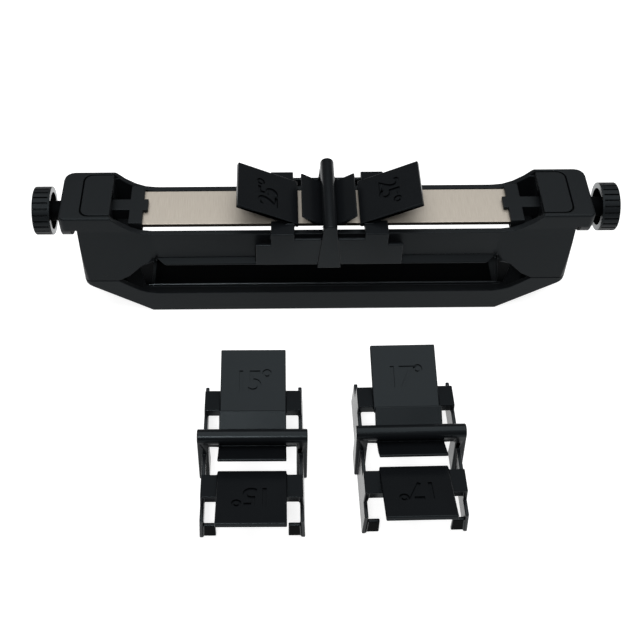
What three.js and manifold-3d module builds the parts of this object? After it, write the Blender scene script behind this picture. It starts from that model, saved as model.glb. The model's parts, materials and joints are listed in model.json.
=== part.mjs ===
// Bench knife sharpener: a tray and a two-tower frame in black plastic, a clamped
// abrasive plate, two screw clamps, and three clip-on angle guides.
// Millimetres. The origin is the middle of the rubber pad's underside, on the table.
// X runs along the plate to the right, Y away from the viewer, Z up.
import * as THREE from "three";
import { mergeVertices } from "three/addons/utils/BufferGeometryUtils.js";
import Module from "manifold-3d";

const wasm = await Module();
wasm.setup();

// Fits and cuts
const GAP = 0.3;
const OVERRUN = 2;
const WELD = 0.4;

// Abrasive plate: a six inch bar
const PLATE_LENGTH = 152.4;
const PLATE_WIDTH = 19.5;
const PLATE_THICKNESS = 1.8;
const END_X = PLATE_LENGTH / 2;

// Axis of the clamp screws: the plate, the rails and the heads follow its height
const AXIS_HEIGHT = 44.4;
const PLATE_RISE = 1.25;
const PLATE_TOP = AXIS_HEIGHT + PLATE_RISE;

// Half widths, from the plate outward
const CROSSBAR_CHEEK = 1.15;
const CROSSBAR_CLEARANCE = 0.85;
const RAIL_WALL = 2.4;
const LEDGE_WIDTH = 2.35;
const CROSSBAR_HALF_WIDTH = PLATE_WIDTH / 2 + CROSSBAR_CHEEK;
const CHANNEL_HALF_WIDTH = CROSSBAR_HALF_WIDTH + CROSSBAR_CLEARANCE;
const RAIL_HALF_WIDTH = CHANNEL_HALF_WIDTH + RAIL_WALL;
const BODY_HALF_WIDTH = RAIL_HALF_WIDTH + LEDGE_WIDTH;

// Places with names in _X are measured outward from the plate's end
// Rails and side windows of the upper frame
const RAIL_DROP = 0.3;
const RAIL_TOP = AXIS_HEIGHT - RAIL_DROP;
const RAIL_STRAIGHT_X = -6.7;
const LEDGE_DROP = 12.8;
const LEDGE_SLOPE = 2.4;
const LEDGE_LIP = 0.6;
const LEDGE_TOP = RAIL_TOP - LEDGE_DROP;
const LEDGE_EDGE_TOP = LEDGE_TOP - LEDGE_SLOPE;
const SKIRT_BOTTOM = LEDGE_EDGE_TOP - LEDGE_LIP;
const LEDGE_END_X = -10.2;
const WINDOW_CORNER_X = -5.5;
const WINDOW_CORNER_RISE = 0.1;
const WINDOW_CORNER_Z = LEDGE_TOP + WINDOW_CORNER_RISE;

// Towers and heads
const SEAM_HEIGHT = 19.2;
const SEAM_INNER_X = 10.2;
const HEAD_RISE = 8.7;
const HEAD_TOP = AXIS_HEIGHT + HEAD_RISE;
const HEAD_UNDERSIDE_RISE = 2.1;
const HEAD_UNDERSIDE = AXIS_HEIGHT + HEAD_UNDERSIDE_RISE;
const HEAD_INNER_X = 11.1;
const HEAD_OUTER_X = 31.7;
const HEAD_CORNER_RADIUS = 4.4;
const HEAD_ROUND = 1;
const TOWER_END_X = 24.75;
const TOWER_CORNER_RADIUS = 3;
const FLARE_TOP_RISE = 0.6;
const FLARE_TOP = AXIS_HEIGHT + FLARE_TOP_RISE;
const FLARE_MID_X = -3.2;
const FLARE_MID_SETBACK = 0.6;
const FLARE_END_X = 3.8;
const TOWER_INNER_WALL = 1.7;
const TOWER_END_WALL = 2.4;
const TOWER_SKIN = 1.8;
const SWOOP_START_X = -5.2;
const SWOOP_CONTROL_X = 2.8;
const NOTCH_MID_X = 5.8;
const NOTCH_MID_SHARE = 0.19;
const NOTCH_MID_Z = SEAM_HEIGHT + NOTCH_MID_SHARE * (WINDOW_CORNER_Z - SEAM_HEIGHT);
const NOTCH_PEAK_X = 0.9;
const NOTCH_PEAK_SHARE = 0.59;
const NOTCH_PEAK_Z = SEAM_HEIGHT + NOTCH_PEAK_SHARE * (WINDOW_CORNER_Z - SEAM_HEIGHT);
const WEB_DROP = 9.4;
const WEB_TOP = AXIS_HEIGHT - WEB_DROP;
const WEB_THICKNESS = 2;
const WEB_INNER_X = 1.8;
const CAVITY_WALL = 3.35;
const CAVITY_HALF_WIDTH = RAIL_HALF_WIDTH - CAVITY_WALL;

// Pillars beside the windows
const PILLAR_FOOT_INNER_X = -2.7;
const PILLAR_FOOT_OUTER_X = -0.2;
const PILLAR_LEAN = 3.6;
const PILLAR_FOOT_HALF_WIDTH = BODY_HALF_WIDTH - PILLAR_LEAN;
const PILLAR_THICKNESS = 1.9;

// Tray
const TRAY_UNDERSIDE = 0.2;
const FOOT_X = -2.6;
const HULL_END_X = 24.05;
const HULL_END_DROP = 2;
const HULL_END_Z = SEAM_HEIGHT - HULL_END_DROP;
const HULL_WALL = 2;
const HULL_INNER_END_X = HULL_END_X - HULL_WALL;
const HULL_INNER_DROP = 0.9;
const HULL_INNER_END_Z = SEAM_HEIGHT - HULL_INNER_DROP;
const TRAY_WALL_TOP = 11;
const RIM_FLAT_X = -5.2;
const RIM_STEP_X = -1.2;
const RIM_STEP_RISE = 0.7;
const RIM_STEP_Z = TRAY_WALL_TOP + RIM_STEP_RISE;
const RIM_LOW_X = 1.8;
const RIM_LOW_DROP = 6.3;
const RIM_LOW_Z = SEAM_HEIGHT - RIM_LOW_DROP;
const RIM_MID_X = 5.8;
const RIM_MID_DROP = 3.6;
const RIM_MID_Z = SEAM_HEIGHT - RIM_MID_DROP;
const TRAY_WALL = 3.8;
const LIP_HALF_WIDTH = BODY_HALF_WIDTH - TRAY_WALL;
const LIP_THICKNESS = 0.8;
const LIP_RISE = 1.4;
const LIP_TOP = TRAY_WALL_TOP + LIP_RISE;
const LIP_ROOT_DEPTH = 1.5;
const TRAY_FLOOR = 4;
const TROUGH_FLAT_X = -2.7;
const TROUGH_END_X = 1.3;
const TROUGH_END_RISE = 1.2;
const TROUGH_END_Z = TRAY_FLOOR + TROUGH_END_RISE;

// Rubber pad
const PAD_END_X = -11.2;
const PAD_MARGIN = 4.5;
const PAD_THICKNESS = 2;
const PAD_CORNER_RADIUS = 3;

// Caps
const CAP_THICKNESS = 2;
const CAP_OUTER_X = 23.1;
const CAP_MARGIN = 2.15;
const CAP_HALF_WIDTH = RAIL_HALF_WIDTH - CAP_MARGIN;
const CAP_CORNER_RADIUS = 3.5;
const CAP_SKIRT_DEPTH = 1;
const CAP_SKIRT_WALL = 1.2;

// Clamp screws: an M6 thread of one millimetre pitch, with a necked tip for the clip
const SCREW_RADIUS = 3;
const SCREW_CLEARANCE = 0.4;
const SCREW_TIP_STEP = 1;
const SCREW_TIP_RADIUS = SCREW_RADIUS - SCREW_TIP_STEP;
const SCREW_BUTTON = 0.4;
const GROOVE_DEPTH = 0.5;
const GROOVE_RADIUS = SCREW_TIP_RADIUS - GROOVE_DEPTH;
const CLIP_THICKNESS = 0.5;
const CLIP_RIM = 1.4;
const CLIP_RADIUS = SCREW_TIP_RADIUS + CLIP_RIM;
const CLIP_MOUTH_HALF_WIDTH = 1.2;

// Jaws
const CROSSBAR_INNER_X = -1.4;
const CROSSBAR_OUTER_X = 4.2;
const CROSSBAR_DROP = 2.2;
const CROSSBAR_BOTTOM = AXIS_HEIGHT - CROSSBAR_DROP;
const CROSSBAR_RISE = 3.2;
const CROSSBAR_TOP = AXIS_HEIGHT + CROSSBAR_RISE;
const TAB_INNER_X = -3.3;
const TAB_HALF_WIDTH = 3.2;
const STEM_HALF_WIDTH = 3.1;
const BLOCK_ROOM = 0.4;
const BLOCK_THICKNESS = 4;
const BLOCK_FRONT = 0.6;
const BLOCK_BACK = 1.4;
const BLOCK_CHEEK = 1;
const BLOCK_INNER_X = HEAD_INNER_X + TOWER_INNER_WALL + BLOCK_ROOM;
const BLOCK_OUTER_X = BLOCK_INNER_X + BLOCK_THICKNESS;
const CLIP_SIDE_ROOM = 0.6;
const CLIP_SEAT_ROOM = 0.4;
const CLIP_SETBACK = 1;
const CLIP_POCKET_INNER_X = BLOCK_INNER_X + BLOCK_FRONT;
const CLIP_POCKET_OUTER_X = BLOCK_OUTER_X - BLOCK_BACK;
const CLIP_POCKET_HALF_WIDTH = CLIP_RADIUS + CLIP_SIDE_ROOM;
const CLIP_POCKET_BOTTOM = AXIS_HEIGHT - CLIP_RADIUS - CLIP_SEAT_ROOM;
const CLIP_INNER_X = CLIP_POCKET_INNER_X + CLIP_SETBACK;
const BLOCK_HALF_WIDTH = CLIP_POCKET_HALF_WIDTH + BLOCK_CHEEK;
const BLOCK_BOTTOM = CLIP_POCKET_BOTTOM - BLOCK_CHEEK;
const BLOCK_RISE = 5.1;
const BLOCK_TOP = AXIS_HEIGHT + BLOCK_RISE;
const GROOVE_INNER_X = CLIP_INNER_X - GAP;
const GROOVE_OUTER_X = CLIP_INNER_X + CLIP_THICKNESS + GAP;
const SCREW_TIP_X = GROOVE_INNER_X - SCREW_BUTTON;
const SCREW_SHOULDER_X = BLOCK_OUTER_X + GAP;

// Screw bosses, each with a threaded insert
const BOSS_ROOT = 3.6;
const BOSS_PROUD = 0.5;
const BOSS_INNER_X = HEAD_OUTER_X - BOSS_ROOT;
const BOSS_OUTER_X = HEAD_OUTER_X + BOSS_PROUD;
const BOSS_RADIUS = 9.95;
const BOSS_RISE = 5.4;
const BOSS_TOP = AXIS_HEIGHT + BOSS_RISE;
const INSERT_WALL = 1.2;
const INSERT_RADIUS = SCREW_RADIUS + INSERT_WALL;
const INSERT_LENGTH = 3;
const INSERT_SETBACK = 0.3;
const INSERT_OUTER_X = BOSS_OUTER_X - INSERT_SETBACK;
const INSERT_INNER_X = INSERT_OUTER_X - INSERT_LENGTH;
const INSERT_GROOVE_DEPTH = 0.4;
const INSERT_GROOVE_WIDTH = 0.9;

// Knobs
const KNOB_RADIUS = 9.93;
const KNOB_ROOM = 3.7;
const KNOB_INNER_X = BOSS_OUTER_X + KNOB_ROOM;
const KNOB_RIM_LENGTH = 0.8;
const KNOB_RIB_X = KNOB_INNER_X + KNOB_RIM_LENGTH;
const KNOB_LENGTH = 7.25;
const KNOB_OUTER_X = KNOB_INNER_X + KNOB_LENGTH;
const KNOB_FACE_THICKNESS = 0.4;
const KNOB_FACE_SETBACK = 0.4;
const KNOB_RIB_DEPTH = 0.9;
const KNOB_RIB_COUNT = 24;
const KNOB_FACE_RADIUS = KNOB_RADIUS - KNOB_FACE_SETBACK;
const KNOB_RIM_WALL = 2.33;
const KNOB_CUP_RADIUS = KNOB_RADIUS - KNOB_RIM_WALL;
const KNOB_CUP_DEPTH = 4.9;
const KNOB_CUP_END_X = KNOB_INNER_X + KNOB_CUP_DEPTH;
const HUB_WALL = 1.1;
const HUB_RADIUS = SCREW_RADIUS + HUB_WALL;
const HUB_ROOM = 0.6;
const HUB_INNER_X = BOSS_OUTER_X + HUB_ROOM;
const HEX_SETBACK = 0.7;
const SCREW_HEX_X = KNOB_INNER_X + HEX_SETBACK;
const SCREW_END_SETBACK = 0.4;
const SCREW_END_X = KNOB_CUP_END_X - SCREW_END_SETBACK;

// Tray screws
const TRAY_SCREW_X = 12.8;
const TRAY_SCREW_MARGIN = 7.5;
const TRAY_SCREW_Y = BODY_HALF_WIDTH - TRAY_SCREW_MARGIN;
const TRAY_SCREW_RADIUS = 1.5;
const TRAY_SCREW_TIP_DROP = 3;
const TRAY_SCREW_TIP_Z = WEB_TOP - WEB_THICKNESS - TRAY_SCREW_TIP_DROP;
const TRAY_SCREW_HEAD_RIM = 1.3;
const TRAY_SCREW_HEAD_RADIUS = TRAY_SCREW_RADIUS + TRAY_SCREW_HEAD_RIM;
const TRAY_SCREW_HEAD_THICKNESS = 2;
const TRAY_SCREW_SEAT_DROP = 4.2;
const TRAY_SCREW_SEAT_Z = SEAM_HEIGHT - TRAY_SCREW_SEAT_DROP;
const TRAY_SCREW_RECESS_DEPTH = 0.9;
const TRAY_SCREW_RECESS_RADIUS = 1.3;
const TRAY_BOSS_WALL = 1.8;
const TRAY_BOSS_RADIUS = TRAY_SCREW_HEAD_RADIUS + TRAY_BOSS_WALL;
const FRAME_POST_WALL = 2;
const FRAME_POST_RADIUS = TRAY_SCREW_RADIUS + FRAME_POST_WALL;

// Angle guides: U along a guide, V across it, W up from its lowest edge
const GUIDE_X = 1.08;
const GUIDE_HALF_LENGTH = 29.9;
const GUIDE_WALL = 1.45;
const GUIDE_SIDE_ROOM = 0.61;
const GUIDE_WALL_HALF_WIDTH = BODY_HALF_WIDTH + GUIDE_SIDE_ROOM + GUIDE_WALL;
const GUIDE_END_HEIGHT = 11.56;
const GUIDE_MID_HEIGHT = 14.6;
const ARM_INNER_U = 14.18;
const ARM_OUTER_U = 23.64;
const ARM_BOTTOM_W = 14.1;
const ARM_THICKNESS = 3.7;
const ARM_TOP_W = ARM_BOTTOM_W + ARM_THICKNESS;
const GUIDE_SEAT_Z = RAIL_TOP + GAP - ARM_BOTTOM_W;
const FLANGE_LENGTH = 1.5;
const FLANGE_INNER_V = RAIL_HALF_WIDTH + GAP;
const FLANGE_BOTTOM_W = 1.2;
const FLANGE_TOP_W = 8.4;
const WING_SETBACK = 1.55;
const WING_HALF_WIDTH = RAIL_HALF_WIDTH - WING_SETBACK;
const ARM_OVERLAP = 2;
const ARM_INNER_V = WING_HALF_WIDTH - ARM_OVERLAP;
const WING_LENGTH = 26.7;
const WING_THICKNESS = 2;
const WING_START_U = 12.5;
const WING_SILL = 1.8;
const WING_SILL_THICKNESS = 1.8;
const WING_UNDERSIDE_W = ARM_BOTTOM_W + WING_SILL;
const WING_START_W = WING_UNDERSIDE_W + WING_SILL_THICKNESS;
const WING_NOSE = 0.6;
const SMALL_TIP_U = 10.8;
const SMALL_TIP_W = 22.5;
const SMALL_MID_U = 5.5;
const SMALL_MID_W = 19.4;
const SMALL_ROOT_U = 1.5;
const SMALL_ROOT_RISE = 0.4;
const SMALL_ROOT_W = WING_UNDERSIDE_W + SMALL_ROOT_RISE;
const SMALL_THICKNESS = 2;
const BAR_HALF_THICKNESS = 2.23;
const BAR_TOP_W = 23.9;
const BAR_TOP_ROUND = 1.2;
const BAR_END_CHAMFER = 0.4;
const BAR_REACH = 1.9;
const BAR_HALF_LENGTH = GUIDE_WALL_HALF_WIDTH + BAR_REACH;
const LEG_FOOT_HALF_THICKNESS = 4.81;

// Numbers on the wings
const DIGIT_HEIGHT = 7;
const DIGIT_WIDTH = 3.8;
const DIGIT_SPACING = 5;
const DIGIT_STROKE = 0.8;
const DIGIT_DEPTH = 0.4;
const DIGIT_DISTANCE = 13;
const DEGREE_OUTER_RADIUS = 1.5;
const DEGREE_LINE = 0.7;

// Loose guides on the table
const LOOSE_15 = { x: -29.9, y: -96.6, turn: 89.7 };
const LOOSE_17 = { x: 29, y: -95.2, turn: 90.8 };

// Segments of round shapes
const FINE = 28;
const COARSE = 16;
const SMALL = 12;
const HEX = 6;
const CORNER = 4;

// Finishes
const FINISHES = {
  plastic: { color: "#26282c", roughness: 0.5, metalness: 0 },
  guide: { color: "#232529", roughness: 0.55, metalness: 0 },
  plate: { color: "#b4ada2", roughness: 0.38, metalness: 0.85 },
  brass: { color: "#b2924e", roughness: 0.35, metalness: 1 },
  screw: { color: "#303236", roughness: 0.35, metalness: 0.9 },
  zinc: { color: "#8d9096", roughness: 0.4, metalness: 1 },
  rubber: { color: "#161617", roughness: 0.85, metalness: 0 },
};

// Solids from outlines
function solid(geometry) {
  geometry.deleteAttribute("normal");
  geometry.deleteAttribute("uv");
  const merged = mergeVertices(geometry);
  const vertProperties = merged.attributes.position.array;
  const triVerts = new Uint32Array(merged.index.array);
  return new wasm.Manifold(new wasm.Mesh({ numProp: 3, vertProperties, triVerts }));
}

function extruded(points, depth, bevel = { bevelEnabled: false }) {
  const shape = new THREE.Shape(points.map(([a, b]) => new THREE.Vector2(a, b)));
  return new THREE.ExtrudeGeometry(shape, { depth, ...bevel });
}

function alongZ(points, from, to) {
  return solid(extruded(points, to - from).translate(0, 0, from));
}

function alongY(points, from, to) {
  return solid(extruded(points, to - from).rotateX(Math.PI / 2).translate(0, to, 0));
}

function alongX(points, from, to) {
  const basis = new THREE.Matrix4().makeBasis(
    new THREE.Vector3(0, 1, 0),
    new THREE.Vector3(0, 0, 1),
    new THREE.Vector3(1, 0, 0),
  );
  return solid(extruded(points, to - from).applyMatrix4(basis).translate(from, 0, 0));
}

function box([x0, x1], [y0, y1], [z0, z1]) {
  const corners = [[x0, y0], [x1, y0], [x1, y1], [x0, y1]];
  return alongZ(corners, z0, z1);
}

function arc(a, b, radius, from, to, count) {
  return Array.from({ length: count + 1 }, (_, i) => {
    const angle = THREE.MathUtils.degToRad(from + ((to - from) * i) / count);
    return [a + radius * Math.cos(angle), b + radius * Math.sin(angle)];
  });
}

function circle(a, b, radius, count) {
  return arc(a, b, radius, 0, 360, count).slice(0, count);
}

function rod(radius, from, to, count) {
  return alongX(circle(0, AXIS_HEIGHT, radius, count), from, to);
}

function pin(x, y, radius, from, to, count) {
  return alongZ(circle(x, y, radius, count), from, to);
}

function curve([a, b, c], count) {
  const bend = new THREE.QuadraticBezierCurve(
    new THREE.Vector2(...a),
    new THREE.Vector2(...b),
    new THREE.Vector2(...c),
  );
  return bend.getPoints(count).map((p) => [p.x, p.y]);
}

function both(half) {
  return half.add(half.mirror([1, 0, 0]));
}

// From the frame of one plate end to the frame of the whole
function atEnd(shape) {
  return shape.translate([END_X, 0, 0]);
}

function fromEnd(points) {
  return points.map(([x, z]) => [END_X + x, z]);
}

function mirroredOutline(points) {
  return [...points, ...points.map(([a, b]) => [-a, b]).reverse()];
}

// A plan from the middle to a rounded end
function roundedEnd(endX, halfWidth, radius) {
  return [
    [0, -halfWidth],
    ...arc(endX - radius, radius - halfWidth, radius, -90, 0, CORNER),
    ...arc(endX - radius, halfWidth - radius, radius, 0, 90, CORNER),
    [0, halfWidth],
  ];
}

// Upper frame
function frameSide() {
  const swoop = curve(
    [[HEAD_INNER_X, HEAD_TOP], [SWOOP_CONTROL_X, RAIL_TOP], [SWOOP_START_X, RAIL_TOP]],
    CORNER,
  );
  const right = [
    [LEDGE_END_X, SKIRT_BOTTOM],
    [WINDOW_CORNER_X, WINDOW_CORNER_Z],
    [PILLAR_FOOT_INNER_X, LIP_TOP + GAP],
    [PILLAR_FOOT_OUTER_X, LIP_TOP + GAP],
    [NOTCH_PEAK_X, NOTCH_PEAK_Z],
    [NOTCH_MID_X, NOTCH_MID_Z],
    [SEAM_INNER_X, SEAM_HEIGHT],
    [TOWER_END_X, SEAM_HEIGHT],
    [TOWER_END_X, HEAD_UNDERSIDE],
    [HEAD_OUTER_X, HEAD_UNDERSIDE],
    [HEAD_OUTER_X, HEAD_TOP],
    ...swoop,
  ];
  return alongY(
    mirroredOutline(fromEnd(right)),
    -BODY_HALF_WIDTH - OVERRUN,
    BODY_HALF_WIDTH + OVERRUN,
  );
}

function flaredSection(inset) {
  return mirroredOutline([
    [BODY_HALF_WIDTH - inset, SEAM_HEIGHT],
    [RAIL_HALF_WIDTH - inset, FLARE_TOP],
    [RAIL_HALF_WIDTH - inset, HEAD_TOP + OVERRUN],
  ]);
}

// The head, with its top edges rounded all the way along
function headBlock() {
  const plan = [
    [RAIL_STRAIGHT_X, -RAIL_HALF_WIDTH],
    ...roundedEnd(HEAD_OUTER_X, RAIL_HALF_WIDTH, HEAD_CORNER_RADIUS).slice(1, -1),
    [RAIL_STRAIGHT_X, RAIL_HALF_WIDTH],
  ];
  const bevel = {
    bevelThickness: HEAD_ROUND,
    bevelSize: HEAD_ROUND,
    bevelOffset: -HEAD_ROUND,
    bevelSegments: 2,
  };
  const bottom = HEAD_UNDERSIDE - HEAD_ROUND;
  const block = solid(
    extruded(plan, HEAD_TOP - HEAD_ROUND - bottom, bevel).translate(0, 0, bottom),
  );
  const limit = box(
    [RAIL_STRAIGHT_X + HEAD_ROUND, HEAD_OUTER_X],
    [-RAIL_HALF_WIDTH, RAIL_HALF_WIDTH],
    [HEAD_UNDERSIDE, HEAD_TOP],
  );
  return block.intersect(limit);
}

function pillarSection() {
  const inner = BODY_HALF_WIDTH - PILLAR_THICKNESS;
  return [
    [PILLAR_FOOT_HALF_WIDTH - PILLAR_THICKNESS, LIP_TOP],
    [PILLAR_FOOT_HALF_WIDTH, LIP_TOP],
    [BODY_HALF_WIDTH, WINDOW_CORNER_Z + OVERRUN],
    [inner, WINDOW_CORNER_Z + OVERRUN],
  ];
}

function ledgeSection() {
  return mirroredOutline([
    [BODY_HALF_WIDTH, SKIRT_BOTTOM],
    [BODY_HALF_WIDTH, LEDGE_EDGE_TOP],
    [RAIL_HALF_WIDTH, LEDGE_TOP],
    [RAIL_HALF_WIDTH, RAIL_TOP],
  ]);
}

function frameOutside() {
  const flare = curve(
    [
      [RAIL_STRAIGHT_X, RAIL_HALF_WIDTH],
      [FLARE_MID_X, BODY_HALF_WIDTH - FLARE_MID_SETBACK],
      [FLARE_END_X, BODY_HALF_WIDTH],
    ],
    CORNER,
  );
  const corner = arc(
    TOWER_END_X - TOWER_CORNER_RADIUS,
    BODY_HALF_WIDTH - TOWER_CORNER_RADIUS,
    TOWER_CORNER_RADIUS,
    90,
    0,
    CORNER,
  );
  const upperHalf = [...flare, ...corner];
  const lowerHalf = upperHalf.map(([x, y]) => [x, -y]).reverse();
  const plan = [...upperHalf, ...lowerHalf];
  const tower = alongZ(plan, SEAM_HEIGHT, HEAD_UNDERSIDE);
  const section = alongX(flaredSection(0), RAIL_STRAIGHT_X, HEAD_OUTER_X + OVERRUN);
  const pillarZone = [
    [RAIL_STRAIGHT_X, LIP_TOP],
    [NOTCH_PEAK_X, LIP_TOP],
    [NOTCH_PEAK_X, NOTCH_PEAK_Z],
    [RAIL_STRAIGHT_X, WINDOW_CORNER_Z + WELD],
  ];
  const pillarCut = alongY(pillarZone, -BODY_HALF_WIDTH - OVERRUN, BODY_HALF_WIDTH + OVERRUN);
  const pillar = alongX(pillarSection(), RAIL_STRAIGHT_X, NOTCH_PEAK_X).intersect(pillarCut);
  const frontPillar = pillar.mirror([0, 1, 0]);
  const end = tower.add(headBlock()).intersect(section).subtract(pillarCut).add(frontPillar);
  const reach = END_X + WINDOW_CORNER_X + WELD;
  const rails = alongX(ledgeSection(), -reach, reach);
  return both(atEnd(end)).add(rails).intersect(frameSide());
}

function boss() {
  const disc = rod(BOSS_RADIUS, BOSS_INNER_X, BOSS_OUTER_X, FINE);
  const limit = box(
    [BOSS_INNER_X, BOSS_OUTER_X],
    [-RAIL_HALF_WIDTH, RAIL_HALF_WIDTH],
    [AXIS_HEIGHT - BOSS_RADIUS - OVERRUN, BOSS_TOP],
  );
  return disc.intersect(limit);
}

function frameCuts() {
  const cavityOuterX = TOWER_END_X - TOWER_END_WALL;
  const wallOuterX = HEAD_INNER_X + TOWER_INNER_WALL;
  const top = HEAD_TOP + OVERRUN;
  const webBottom = WEB_TOP - WEB_THICKNESS;
  const pocket = box(
    [SWOOP_START_X, HEAD_INNER_X],
    [-CHANNEL_HALF_WIDTH, CHANNEL_HALF_WIDTH],
    [WEB_TOP, top],
  );
  const cavity = box(
    [wallOuterX, cavityOuterX],
    [-CAVITY_HALF_WIDTH, CAVITY_HALF_WIDTH],
    [WEB_TOP, top],
  );
  const stemHalf = STEM_HALF_WIDTH + GAP;
  const slot = box(
    [HEAD_INNER_X - OVERRUN, wallOuterX + OVERRUN],
    [-stemHalf, stemHalf],
    [CROSSBAR_BOTTOM - GAP, top],
  );
  const recess = alongZ(
    capPlan(GAP, HEAD_INNER_X - OVERRUN),
    HEAD_TOP - CAP_THICKNESS - GAP,
    top,
  );
  const hollow = alongX(flaredSection(TOWER_SKIN), WEB_INNER_X, cavityOuterX).intersect(
    box(
      [WEB_INNER_X, cavityOuterX],
      [-BODY_HALF_WIDTH, BODY_HALF_WIDTH],
      [SEAM_HEIGHT - OVERRUN, webBottom],
    ),
  );
  const hollowMouth = box(
    [WEB_INNER_X, cavityOuterX],
    [TOWER_SKIN - BODY_HALF_WIDTH, BODY_HALF_WIDTH - TOWER_SKIN],
    [SEAM_HEIGHT - OVERRUN, SEAM_HEIGHT],
  );
  const clearance = rod(
    SCREW_RADIUS + SCREW_CLEARANCE,
    cavityOuterX - OVERRUN,
    BOSS_OUTER_X + OVERRUN,
    COARSE,
  );
  const bore = rod(INSERT_RADIUS + GAP, INSERT_INNER_X - GAP, BOSS_OUTER_X + OVERRUN, COARSE);
  const end = [pocket, cavity, slot, recess, hollow, hollowMouth, clearance, bore];
  const reach = END_X + WEB_INNER_X;
  const channel = box(
    [-reach, reach],
    [-CHANNEL_HALF_WIDTH, CHANNEL_HALF_WIDTH],
    [LIP_TOP - OVERRUN, top],
  );
  return both(atEnd(end.reduce((all, cut) => all.add(cut)))).add(channel);
}

function framePost(side) {
  const y = side * TRAY_SCREW_Y;
  const top = WEB_TOP - WEB_THICKNESS + WELD;
  return pin(TRAY_SCREW_X, y, FRAME_POST_RADIUS, SEAM_HEIGHT + GAP, top, COARSE);
}

function framePilot(side) {
  const radius = TRAY_SCREW_RADIUS + GAP;
  const y = side * TRAY_SCREW_Y;
  return pin(TRAY_SCREW_X, y, radius, SEAM_HEIGHT - OVERRUN, TRAY_SCREW_TIP_Z + GAP, COARSE);
}

function upperFrame() {
  const shell = frameOutside().add(both(atEnd(boss()))).subtract(frameCuts());
  const posts = framePost(1).add(framePost(-1));
  const pilots = framePilot(1).add(framePilot(-1));
  return shell.add(both(atEnd(posts))).subtract(both(atEnd(pilots)));
}

// Caps of the heads
function capPlan(growth, innerX) {
  const plan = roundedEnd(CAP_OUTER_X + growth, CAP_HALF_WIDTH + growth, CAP_CORNER_RADIUS);
  plan[0] = [innerX, -CAP_HALF_WIDTH - growth];
  plan[plan.length - 1] = [innerX, CAP_HALF_WIDTH + growth];
  return plan;
}

function towerCap() {
  const bottom = HEAD_TOP - CAP_THICKNESS;
  const lid = alongZ(capPlan(0, HEAD_INNER_X), bottom, HEAD_TOP);
  const innerX = HEAD_INNER_X + TOWER_INNER_WALL + GAP;
  const outerX = TOWER_END_X - TOWER_END_WALL - GAP;
  const half = CAVITY_HALF_WIDTH - GAP;
  const skirt = box([innerX, outerX], [-half, half], [bottom - CAP_SKIRT_DEPTH, bottom + WELD]);
  const inside = box(
    [innerX + CAP_SKIRT_WALL, outerX - CAP_SKIRT_WALL],
    [CAP_SKIRT_WALL - half, half - CAP_SKIRT_WALL],
    [bottom - CAP_SKIRT_DEPTH - OVERRUN, bottom],
  );
  return lid.add(skirt).subtract(inside);
}

// Tray
function traySide() {
  const right = [
    [FOOT_X, TRAY_UNDERSIDE],
    [HULL_END_X, HULL_END_Z],
    [TOWER_END_X, SEAM_HEIGHT - GAP],
    [SEAM_INNER_X, SEAM_HEIGHT - GAP],
    [RIM_MID_X, RIM_MID_Z],
    [RIM_LOW_X, RIM_LOW_Z],
    [RIM_STEP_X, RIM_STEP_Z],
    [RIM_FLAT_X, TRAY_WALL_TOP],
  ];
  return alongY(mirroredOutline(fromEnd(right)), -BODY_HALF_WIDTH, BODY_HALF_WIDTH);
}

function trayBoss(side) {
  const y = side * TRAY_SCREW_Y;
  return pin(TRAY_SCREW_X, y, TRAY_BOSS_RADIUS, HULL_WALL, SEAM_HEIGHT, COARSE);
}

function trayBossHole(side) {
  const y = side * TRAY_SCREW_Y;
  const shank = TRAY_SCREW_RADIUS + GAP;
  const head = TRAY_SCREW_HEAD_RADIUS + GAP;
  const drilled = pin(TRAY_SCREW_X, y, shank, 0, SEAM_HEIGHT + OVERRUN, COARSE);
  return drilled.add(pin(TRAY_SCREW_X, y, head, 0, TRAY_SCREW_SEAT_Z, COARSE));
}

function baseTray() {
  const plan = mirroredOutline(
    roundedEnd(END_X + TOWER_END_X, BODY_HALF_WIDTH, TOWER_CORNER_RADIUS).slice(1, -1),
  );
  const hull = traySide().intersect(alongZ(plan, 0, SEAM_HEIGHT));
  const top = SEAM_HEIGHT + OVERRUN;
  const troughHalf = LIP_HALF_WIDTH - LIP_THICKNESS;
  const trough = alongY(
    mirroredOutline(
      fromEnd([
        [TROUGH_FLAT_X, TRAY_FLOOR],
        [TROUGH_END_X, TROUGH_END_Z],
        [TROUGH_END_X, top],
      ]),
    ),
    -troughHalf,
    troughHalf,
  );
  const endHalf = BODY_HALF_WIDTH - HULL_WALL;
  const hollow = alongY(
    [
      [TROUGH_END_X - WELD, TROUGH_END_Z],
      [TROUGH_END_X, TROUGH_END_Z],
      [HULL_INNER_END_X, HULL_INNER_END_Z],
      [HULL_INNER_END_X, top],
      [TROUGH_END_X - WELD, top],
    ],
    -endHalf,
    endHalf,
  );
  const lipRoot = TRAY_WALL_TOP - LIP_ROOT_DEPTH;
  const lipReach = END_X + RIM_STEP_X;
  const lip = alongX(
    [
      [troughHalf, lipRoot],
      [LIP_HALF_WIDTH, lipRoot],
      [LIP_HALF_WIDTH, LIP_TOP],
      [troughHalf, LIP_TOP],
    ],
    -lipReach,
    lipReach,
  );
  const lips = lip.add(lip.mirror([0, 1, 0]));
  const shell = hull.subtract(trough).subtract(both(atEnd(hollow))).add(lips);
  const bosses = atEnd(trayBoss(1).add(trayBoss(-1))).intersect(traySide());
  const holes = trayBossHole(1).add(trayBossHole(-1));
  const seat = padPlan(GAP);
  const recess = alongZ(seat, 0, PAD_THICKNESS + GAP);
  return shell.add(both(bosses)).subtract(both(atEnd(holes))).subtract(recess);
}

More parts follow.
